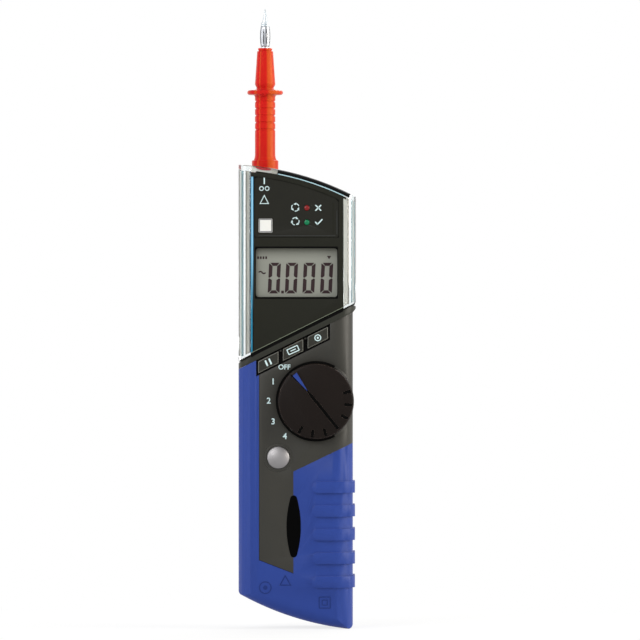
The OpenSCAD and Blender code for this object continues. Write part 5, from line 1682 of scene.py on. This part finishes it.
    def square_badge(self) -> list[Piece]:
        """Makes the bare white badge with its softly rounded edge, and the grey rim printed on it.

        Returns:
            The pieces.
        """
        badge = Extent.of("square_badge")
        side, place = badge.size.x, tuple(badge.low)
        bm = ease(slab(round_box(0, side, 0, side, 0.35, 4), badge.size.y), 0.08, 2)
        rim = Artwork(FILM_T)
        low, high = 0.1, side - 0.1
        rim.frame([(low, low), (high, low), (high, high), (low, high)], 0.4)
        return [finish_piece("square_badge_plain", bm, WHITE_PLASTIC, "case", place,
                             replaces=["square_badge"]),
                finish_piece("square_badge_rim", rim.press(), RIM_GREY, "case", place)]

    def lamps(self) -> list[Piece]:
        """Makes the two domed lenses.

        Returns:
            The pieces.
        """
        made = []
        profile = [(0, 0.2), (0.45, 0.17), (0.8, 0.06), (1.02, -0.1), (1.12, -0.3), (1.12, -6.5), (0, -6.5)]
        rows = zip(self.lamp_z, ("ok_lamp", "fault_lamp"), (LAMP_GREEN, LAMP_RED), ("lamp_green", "lamp_red"))
        for z, node, finish, slot in rows:
            made.append(finish_piece(node + "_lens", lathe(profile, 40), finish, "case",
                                     (self.lamp_x, FRONT, z), TO_FRONT, [node], 50))
        return made


# -------- keys, selector and electrode


class KeyMark(Enum):
    """Pictograms on the keys, by their place in the row."""

    PAUSE = 0
    SCREEN = 1
    RECORD = 2


LEFT_KEY, MIDDLE_KEY = Extent.of("left_key"), Extent.of("middle_key")


@dataclass
class Keys:
    """Three slanted keys in their black frame.

    Attributes:
        foot: How far the foot of a key stands out round its cap.
        foot_t: Thickness of that foot.
        left: Left side of the first cap.
        width: Width of a cap.
        height: Height of a cap along its upright sides.
        pitch: Spacing of the keys.
        margin: Distance of the caps from the shoulder band.
        face: Face of a cap.
        base: Rear of a key.
        edge: Width of a cap's rounded edge.
        rim: Width of the flat rim round the dish, and of the dish's slope.
        dish: Depth of the dish.
        pip: Half of the width of a pip between the keys.
        mark_lean: Slope of the pictograms, in degrees.
    """

    foot: float = 0.2
    foot_t: float = 0.8
    left: float = LEFT_KEY.low.x + foot
    width: float = LEFT_KEY.size.x - 2 * foot
    height: float = 4.9
    pitch: float = MIDDLE_KEY.low.x - LEFT_KEY.low.x
    margin: float = 0.8
    face: float = LEFT_KEY.low.y
    base: float = LEFT_KEY.high.y
    edge: float = 0.32
    rim: float = 0.35
    dish: float = 0.09
    pip: float = 0.42
    mark_lean: float = 24.0

    def build(self) -> list[Piece]:
        """Builds the keys.

        Returns:
            The pieces.
        """
        made = [EasedSolid("key_frame", "case", BLACK_NYLON_AND_SHADE, 0.1, 1).build()]
        for mark, name in zip(KeyMark, ("left_key", "middle_key", "right_key")):
            made += [self.key(mark.value, name), self.pictogram(mark, name)]
        return made + [self.gap_pips()]

    def gap_pips(self) -> Piece:
        """Makes the two small pips of the frame between the keys.

        Returns:
            The piece.
        """
        pips = bmesh.new()
        for index in (1, 2):
            x = self.left + index * self.pitch - (self.pitch - self.width) / 2
            top, left, right = shoulder(x) - self.margin, x - self.pip, x + self.pip
            pip = slab([(left, top - 0.7), (right, top - 0.5), (right, top + 0.15), (left, top - 0.05)], 0.5)
            join(pips, ease(pip, 0.12, 2))
        return finish_piece("key_frame_pips", pips, KEY_GREY, "case", (0, FRONT - 0.1, 0))

    def key(self, index: int, name: str) -> Piece:
        """Makes one key: a dished cap on its wider foot.

        Args:
            index: Place in the row.
            name: Solid and body of the key.

        Returns:
            The key.
        """
        x0 = self.left + index * self.pitch
        low, high, depth = -self.margin - self.height, -self.margin, self.base - self.face
        bm = ease(slab(shoulder_strip(x0, x0 + self.width, low, high), depth), self.edge, 3, slot=1)
        front = min(bm.faces, key=lambda f: f.calc_center_median().y)
        for sink in (0.0, -self.dish):
            bmesh.ops.inset_region(bm, faces=[front], thickness=self.rim, depth=sink, use_even_offset=True)
        foot = slab(shoulder_strip(x0 - self.foot, x0 + self.width + self.foot, low - self.foot,
                                   high + self.foot), self.foot_t)
        bmesh.ops.translate(foot, verts=foot.verts, vec=(0, depth - self.foot_t, 0))
        join(bm, foot)
        # The eased edges take the paler finish: a painted highlight
        return finish_piece(name + "_cap", bm, KEY_GREY, name, (0, self.face, 0),
                            replaces=[name], smooth=50.0, edge=KEY_EDGE_HIGHLIGHT)

    def pictogram(self, mark: KeyMark, name: str) -> Piece:
        """Makes the print on one key, leaning with the shoulder.

        Args:
            mark: Which pictogram.
            name: Body of the key.

        Returns:
            The print.
        """
        x = self.left + mark.value * self.pitch + self.width / 2
        z = shoulder(x) - self.margin - self.height / 2
        art = Artwork(INK_T)
        if mark is KeyMark.PAUSE:
            for side in (-0.85, 0.85):
                art.bar((side, -1.25), (side, 1.25), 0.68)
        elif mark is KeyMark.SCREEN:
            art.ring(round_box(-2.5, 2.5, -1.25, 1.25, 0.3, 3), round_box(-2.1, 2.1, -0.85, 0.85, 0.15, 3))
            art.bar((-1.2, 0.0), (1.2, 0.0), 0.4)
        else:
            art.hoop(0, 0, 1.4, 1.0)
            art.disc(0, 0, 0.45)
        return finish_piece(name + "_print", tilt(art.press(), -self.mark_lean), INK, name,
                            (x, self.face + self.dish - 0.01, z))


KNOB = Extent.of("selector_knob")


@dataclass
class Selector:
    """Round selector knob with its grooves and pointer, its well and the figures of its dial.

    Attributes:
        x: Axis in X.
        z: Axis in Z.
        radius: Radius of the knob.
        face: Face of the knob.
        off: Angle of the pointer at rest, in degrees from the right.
        well_r: Radius of the well round the knob.
        well_ends: Angles between which the well shows beside the knob.
        flank: Where the case's front starts to curve back on the right, and the radius of that edge.
        shelf_end: Angle over and under the level at which the grey shelf ends.
        notch_step: Angle between two notches, in degrees.
        notch: Inner and outer end of a notch, from the axis.
        notch_w: Width of a notch.
        notch_y: Depth of the painted shade on the notches' floors.
        groove_y: Depth of the painted shade on the groove's floor.
        bold: How far the glyphs are thickened, as a share of the type size.
        marks: Text, place and height of each figure of the dial.
    """

    x: float = KNOB.middle.x
    z: float = KNOB.middle.z
    radius: float = KNOB.size.x / 2
    face: float = KNOB.low.y
    off: float = 129.0
    well_r: float = 16.4
    well_ends: Point = (61.5, 298.5)
    flank: Point = (14.3, 8.5)
    shelf_end: float = 27.0
    notch_step: float = 22.5
    notch: Point = (11.65, 14.78)
    notch_w: float = 1.2
    notch_y: float = 0.45
    groove_y: float = 0.5
    bold: float = 0.018
    marks: tuple[tuple[str, float, float, float], ...] = (
        ("OFF", -5.2, 107.1, 2.1), ("1", -9.8, 101.2, 2.5), ("2", -11.6, 93.4, 2.5),
        ("3", -9.8, 84.9, 2.5), ("4", -5.0, 78.9, 2.5))

    def build(self) -> list[Piece]:
        """Builds the selector.

        Returns:
            The pieces.
        """
        return [
            EasedSolid("selector_knob", "selector", KNOB_BLACK, 0.2, 2, KNOB_EDGE_HIGHLIGHT).build(),
            EasedSolid("pointer_insert", "selector", GRIP_BLUE, 0.06, 1).build(),
            self.groove_shade(), self.notch_shade(), self.well_shade(), self.well_shelf(), self.dial(),
        ]

    def notch_shade(self) -> Piece:
        """Makes painted shade: matt black on the floors of the six notches.

        Returns:
            The piece.
        """
        art = Artwork(INK_T)
        for step in (-3, -2, -1, 1, 2, 3):
            turn = math.radians(180 + self.off + step * self.notch_step)
            start, end = ((r * math.cos(turn), r * math.sin(turn)) for r in self.notch)
            art.bar(start, end, self.notch_w - 0.04)
        return finish_piece("knob_notch_painted_shade", art.press(), BLACK_NYLON_AND_SHADE, "selector",
                            (self.x, self.face + self.notch_y, self.z))

    def groove_shade(self) -> Piece:
        """Makes painted shade: matt black on the floor of the groove and of the line beside the pointer.

        Returns:
            The piece.
        """
        r = self.radius
        art = Artwork(INK_T)
        art.shape([(1.15 - r, -0.6), (2.6, -0.6), (5.6, -0.25), (r - 2.0, 0.45), (r - 0.55, 0.95),
                   (r - 0.55, 1.45), (5.6, 0.25), (2.6, 0.6), (1.15 - r, 0.6)])
        return finish_piece("knob_groove_painted_shade", tilt(art.press(), -self.off), BLACK_NYLON_AND_SHADE, "selector",
                            (self.x, self.face + self.groove_y, self.z))

    def well_shade(self) -> Piece:
        """Makes painted shade: a black lining of the well where it shows beside the knob.

        Returns:
            The piece.
        """
        outline = curved_bar(0, 0, (self.radius + 0.12, self.well_r), *self.well_ends, 72)
        return finish_piece("knob_well_painted_shade", slab(outline, 0.5), BLACK_NYLON_AND_SHADE, "case",
                            (self.x, FRONT + 0.03, self.z), smooth=60)

    def well_shelf(self) -> Piece:
        """Makes the grey shelf that closes the well beside the knob on the rounded flank.

        Returns:
            The piece.
        """
        edge, radius = self.flank
        low, high, reach = self.radius + 0.1, self.well_r + 0.05, self.well_ends[0]
        profile = [(low, 0.05), (high, 0.05), (high, 0.55), (low, 0.55)]
        bm = bmesh.new()
        for span in ((reach, self.shelf_end), (-self.shelf_end, -reach)):
            join(bm, swept_rim(profile, (self.x, self.z), span, 18))
        for vert in bm.verts:
            past = max(0.0, vert.co.x - edge)
            vert.co.y += FRONT + radius - math.sqrt(radius ** 2 - past ** 2)
        return finish_piece("knob_well_shelf", bm, CASE_GREY, "case", smooth=50)

    def dial(self) -> Piece:
        """Makes the figures printed round the knob.

        Returns:
            The piece.
        """
        art = Artwork(PRINT_T)
        for text, x, z, height in self.marks:
            art.glyphs(text, x, z, height, self.bold)
        return finish_piece("dial_figures", art.press(), INK, "case", (0, FRONT, 0))


@dataclass
class TouchElectrode:
    """Domed touch contact in its grey ring.

    Attributes:
        x: Axis in X.
        z: Axis in Z.
        radius: Radius of the dome.
        proud: Height of the dome over the case.
        flange: How far the flange stands out round the dome.
        flange_y: Depth of both faces of the flange behind the case's front.
        stem: Radius of the stem, and depth of its end.
    """

    x: float = -7.7
    z: float = 70.1
    radius: float = 4.6
    proud: float = 1.5
    flange: float = 0.8
    flange_y: Point = (3.2, 4.2)
    stem: Point = (1.5, 6.6)

    def build(self) -> list[Piece]:
        """Builds the electrode.

        Returns:
            The pieces.
        """
        ball = (self.radius ** 2 + self.proud ** 2) / (2 * self.proud)
        rim = math.degrees(math.asin((self.radius - 0.15) / ball))
        crown = arc_points(0, self.proud - ball, ball, 90, 90 - rim, 14)
        (near, far), (stem_r, end), wide = self.flange_y, self.stem, self.radius + self.flange
        skirt = [(self.radius, crown[-1][1] - 0.25), (self.radius, -near), (wide, -near), (wide, -far),
                 (stem_r, -far), (stem_r, -end), (0, -end)]
        dome = finish_piece("touch_dome", lathe(crown + skirt, 72), DOME, "electrode",
                            (self.x, FRONT, self.z), TO_FRONT, ["touch_electrode"], 40)
        return [dome, EasedSolid("electrode_ring", "case", CASE_GREY, 0.08, 2).build()]


# -------- badge and probe


@dataclass
class OvalBadge:
    """Bare, polished black badge, slightly crowned.

    Attributes:
        radius: Width of its rounded edge.
    """

    radius: float = 0.25

    def build(self) -> list[Piece]:
        """Builds the badge and returns it."""
        return [EasedSolid("oval_badge", "case", BADGE_BLACK, self.radius, 3).build()]


@dataclass
class Probe:
    """Plug-in test probe: red handle, turned rod, sprung lantern contact and needle.

    Attributes:
        x: Axis in X.
        y: Axis in Y.
        collar_z: Lower end of the handle.
        collar_top: Upper edge of its collar.
        collar_r: Radius of the collar.
        body_r: Radius of the straight handle.
        grooves: Heights of the grooves, from below.
        groove: Depth of a groove and half of its width.
        guard_z: Lower edge of the finger guard.
        guard_r: Radius of the finger guard.
        guard_rim: Width and half of the height of its round rim.
        top_z: Upper end of the handle.
        rod_r: Radius of the rod.
        plug_z: Lower end of the plug.
        plug_r: Radius of the plug.
        leaf_z: Lower and upper end of the lantern contact; the needle's collar stands over it.
        neck_r: Radius of the rod inside the contact.
        core_r: Radius of the dark core round it, painted shade between the leaves.
        tip_z: Point of the needle.
    """

    x: float = PROBE.middle.x
    y: float = PROBE.middle.y
    collar_z: float = 187.3
    collar_top: float = 191.95
    collar_r: float = 5.45
    body_r: float = 4.18
    grooves: tuple[float, ...] = (204.5, 207.4, 210.3, 213.2, 216.1)
    groove: Point = (0.34, 0.4)
    guard_z: float = 218.8
    guard_r: float = PROBE.size.x / 2
    guard_rim: Point = (0.9, 0.95)
    top_z: float = PROBE.high.z
    rod_r: float = 1.5
    plug_z: float = 170.27
    plug_r: float = 1.96
    leaf_z: Point = (238.6, 246.9)
    neck_r: float = 1.15
    core_r: float = 1.3
    tip_z: float = Extent.of("probe_rod").high.z

    def handle_profile(self) -> list[Point]:
        """Works out the handle's half section with its rounded lips and grooves.

        Returns:
            Radius and height of each point, in millimetres.
        """
        b, c, foot, top = self.body_r, self.collar_r, self.collar_z, self.collar_top
        bore, g, end = self.rod_r + 0.03, self.guard_z, self.top_z
        points = [(bore, foot), (c - 0.15, foot), (c, foot + 0.15), (c, top - 0.45), (c - 0.15, top - 0.12),
                  (c - 0.5, top), (b + 0.55, top), (b + 0.25, top + 0.7), (b, top + 2.0)]
        sink, half = self.groove
        for z in self.grooves:
            points += [(b - sink * math.sin(math.pi * i / 8), z - half + half * i / 4) for i in range(9)]
        points += [(b, g - 1.1), (b + 0.12, g - 0.5), (b + 0.45, g - 0.12), (b + 0.8, g)]
        wide, tall = self.guard_rim
        points += [(self.guard_r - wide + wide * x, g + tall + tall * z)
                   for x, z in arc_points(0, 0, 1, -90, 90, 10)]
        points += [(b + 0.2, g + 2.1), (b - 0.4, g + 2.3), (b - 0.7, g + 2.8), (b - 0.62, g + 3.1),
                   (b - 0.1, g + 3.95), (b, g + 4.4)]
        lip = self.rod_r + 1.4
        return points + [(b - 0.9, end - 1.45), (b - 1.05, end - 1.25), (lip - 0.2, end - 1.2),
                         (lip - 0.2, end - 0.8), (lip, end - 0.75), (lip, end - 0.15), (lip - 0.15, end),
                         (bore, end), (bore, foot)]

    def rod_profile(self) -> list[Point]:
        """Works out the half section of plug, rod, tip collar and needle.

        Returns:
            Radius and height of each point, in millimetres.
        """
        low, foot, tip, neck = self.plug_z, self.collar_z - 0.05, self.tip_z, self.neck_r
        shoulder_z, n = self.leaf_z
        return [(0, low), (1.36, low), (self.plug_r, low + 1.2), (self.plug_r, foot), (self.rod_r, foot),
                (self.rod_r, shoulder_z - 0.1), (1.35, shoulder_z), (neck, shoulder_z), (neck, n), (1.6, n),
                (1.75, n + 0.12), (1.75, n + 0.55), (1.6, n + 0.72), (1.5, n + 0.82), (1.62, n + 0.95),
                (1.7, n + 1.15), (1.7, n + 1.45), (1.55, n + 1.68), (1.2, n + 1.8), (1.13, n + 1.95),
                (0.14, tip - 0.12), (0.06, tip - 0.02), (0, tip)]

    def core_profile(self) -> list[Point]:
        """Returns the half section of the dark core inside the lantern contact, painted shade between its
        leaves.
        """
        low, high, inner = self.leaf_z[0] + 0.12, self.leaf_z[1] - 0.08, self.neck_r + 0.02
        return [(inner, low), (self.core_r, low), (self.core_r, high), (inner, high), (inner, low)]

    def build(self) -> list[Piece]:
        """Builds the probe.

        Returns:
            The pieces.
        """
        turned = (
            ("probe_handle_turned", self.handle_profile(), 72, PROBE_RED, "probe_red", ["probe_handle"]),
            ("probe_rod_turned", self.rod_profile(), 48, STEEL, "steel", ["probe_rod"]),
            ("lantern_core_shade", self.core_profile(), 32, CORE_SHADE_STEEL, "steel", []),
        )
        made = [finish_piece(name, lathe(profile, steps), finish, "probe", (self.x, self.y, 0),
                             replaces=solids, smooth=40)
                for name, profile, steps, finish, slot, solids in turned]
        return made + [EasedSolid("lantern_spring", "probe", LEAF_NICKEL, 0.04, 1).build()]


# -------- what stays as its solid


@dataclass
class InnerParts:
    """Boards, contacts, springs, cells and screws: their solids as they are, in their own finishes.

    Attributes:
        bright_steel: Springs that are polished steel, whatever their slot says.
    """

    bright_steel: tuple[str, ...] = ("detent_spring", "electrode_spring")

    def build(self) -> int:
        """Dresses every solid.

        Returns:
            How many solids there are.
        """
        for node, solid in frame["nodes"].items():
            finish = STEEL if node in self.bright_steel else SLOT_FINISH[slot_of(node)]
            solid.data.materials.clear()
            solid.data.materials.append(material_of(finish))
        return len(frame["nodes"])


# -------- studio


@dataclass
class Studio:
    """Camera, floor, world and soft lamps.

    Attributes:
        look: Point in X and Z that the camera faces.
        reach: Distance of the camera from the centre of the object.
        plane: Depth of the upright plane that the view's height is taken in.
        high: Height of the view in that plane, in millimetres.
        sensor: Width and height of the camera's sensor.
        surround: Light that the white surround gives, as a share of what it shows.
        paper: Share of light that the floor gives back.
        floor_size: Half of the floor's side, in metres.
        floor_glow: Share of the floor's white that needs no light, beside the object.
        clear_of: Distances in metres between which that share rises to all of it.
        aim_z: Height that the lamps face, in metres.
        lamps: Name, place, size, power and tint of each lamp, in metres and watts.
    """

    look: Point = (9.35, 126.3)
    reach: float = 2600.0
    plane: float = -4.0
    high: float = 262.4
    sensor: float = 36.0
    surround: float = 0.45
    paper: float = 0.86
    floor_size: float = 4.0
    floor_glow: float = 0.8
    clear_of: Point = (0.04, 0.2)
    aim_z: float = 0.12
    lamps: tuple[tuple[str, Triple, Point, float, str], ...] = (
        ("key_left", (-0.75, -1.0, 0.85), (0.7, 0.7), 10.0, "#ffffff"),
        ("side_left", (-1.15, -0.35, 0.25), (0.5, 1.2), 5.0, "#ffffff"),
        ("side_right", (1.25, -0.22, 0.25), (0.8, 1.3), 26.0, "#fff9ee"),
        ("rear_top", (0.2, 0.9, 0.9), (0.9, 0.6), 8.0, "#ffffff"))

    def camera(self) -> None:
        """Makes a long-lens camera that faces the front squarely."""
        data = bpy.data.cameras.new("studio_camera")
        data.sensor_width = data.sensor_height = self.sensor
        data.sensor_fit = "HORIZONTAL"
        data.lens = self.sensor * (self.reach + self.plane) / self.high
        data.clip_start, data.clip_end = 0.05, 50.0
        camera = bpy.data.objects.new("studio_camera", data)
        camera.location = (self.look[0] * MM, -self.reach * MM, self.look[1] * MM)
        camera.rotation_euler = (math.pi / 2, 0, 0)
        bpy.context.scene.collection.objects.link(camera)
        bpy.context.scene.camera = camera

    def seen_white(self, tree: bpy.types.NodeTree) -> bpy.types.NodeSocket:
        """Adds a test for rays that show the background: straight, mirrored or through glass.

        Args:
            tree: Node tree that it joins.

        Returns:
            A socket that is 1 for such rays and 0 for all others.
        """
        path = add_node(tree, "ShaderNodeLightPath")
        first = add_node(tree, "ShaderNodeMath", {
            0: path.outputs["Is Camera Ray"], 1: path.outputs["Is Glossy Ray"]}, operation="MAXIMUM")
        return add_node(tree, "ShaderNodeMath", {
            0: first, 1: path.outputs["Is Transmission Ray"]}, operation="MAXIMUM").outputs[0]

    def world(self) -> None:
        """Makes the white surround and its weaker light."""
        world = bpy.data.worlds.new("studio_white")
        world.use_nodes = True
        tree = world.node_tree
        tree.nodes.clear()
        level = add_node(tree, "ShaderNodeMapRange", {
            "Value": self.seen_white(tree), "To Min": self.surround, "To Max": 1.0})
        glow = add_node(tree, "ShaderNodeBackground", {"Color": (1, 1, 1, 1), "Strength": level})
        add_node(tree, "ShaderNodeOutputWorld", {"Surface": glow})
        bpy.context.scene.world = world

    def floor_paper(self) -> bpy.types.Material:
        """Makes matt white paper that shows as pure white away from the object's soft shadow.

        Returns:
            The material.
        """
        material, tree, place = start_material("pale_paper")
        paper = add_node(tree, "ShaderNodeBsdfDiffuse", {"Color": (self.paper, self.paper, self.paper, 1)})
        glow = add_node(tree, "ShaderNodeEmission", {"Color": (1, 1, 1, 1), "Strength": 1.0})
        away = add_node(tree, "ShaderNodeVectorMath", {0: place}, operation="LENGTH")
        level = add_node(tree, "ShaderNodeMapRange", {
            "Value": away.outputs["Value"], "From Min": self.clear_of[0], "From Max": self.clear_of[1],
            "To Min": self.floor_glow, "To Max": 1.0}, interpolation_type="SMOOTHSTEP")
        share = add_node(tree, "ShaderNodeMath", {
            0: self.seen_white(tree), 1: level}, operation="MULTIPLY")
        mixed = add_node(tree, "ShaderNodeMixShader", {0: share, 1: paper, 2: glow})
        add_node(tree, "ShaderNodeOutputMaterial", {"Surface": mixed})
        return material

    def floor(self) -> None:
        """Makes the floor."""
        bm = bmesh.new()
        bmesh.ops.create_grid(bm, x_segments=1, y_segments=1, size=self.floor_size)
        mesh = bpy.data.meshes.new("studio_floor")
        bm.to_mesh(mesh)
        bm.free()
        mesh.materials.append(self.floor_paper())
        floor = bpy.data.objects.new("studio_floor", mesh)
        bpy.context.scene.collection.objects.link(floor)

    def lamp(self, name: str, place: Triple, size: Point, power: float,
             tint: str) -> None:
        """Makes a soft rectangular lamp that faces the middle of the object.

        Args:
            name: Name of the lamp.
            place: Its place, in metres.
            size: Its width and height, in metres.
            power: Its power in watts.
            tint: Colour of its light.
        """
        data = bpy.data.lights.new(name, "AREA")
        data.shape, data.size, data.size_y, data.energy = "RECTANGLE", size[0], size[1], power
        data.color = linear(tint)[:3]
        lamp = bpy.data.objects.new(name, data)
        lamp.location = place
        aim = Vector((0, 0, self.aim_z)) - Vector(place)
        lamp.rotation_euler = aim.to_track_quat("-Z", "Y").to_euler()
        bpy.context.scene.collection.objects.link(lamp)

    def build(self) -> None:
        """Builds the studio."""
        bpy.context.scene.view_settings.view_transform = "Standard"
        self.camera()
        self.world()
        self.floor()
        for lamp in self.lamps:
            self.lamp(*lamp)


# -------- the whole object


def main() -> None:
    """Builds the studio and the object, and reports each piece."""
    logging.basicConfig(level=logging.INFO, format="%(name)s: %(message)s")
    Studio().build()
    count = 0
    for part in (CaseShell(), ClearHood(), DisplayModule(), Keys(), Selector(), TouchElectrode(),
                 OvalBadge(), Probe()):
        for piece in part.build():
            count += 1
            LOG.info("%s: %s, %d faces", type(part).__name__, piece.name, len(piece.data.polygons))
    LOG.info("%d pieces made; %d solids dressed", count, InnerParts().build())


if __name__ == "__main__":
    main()
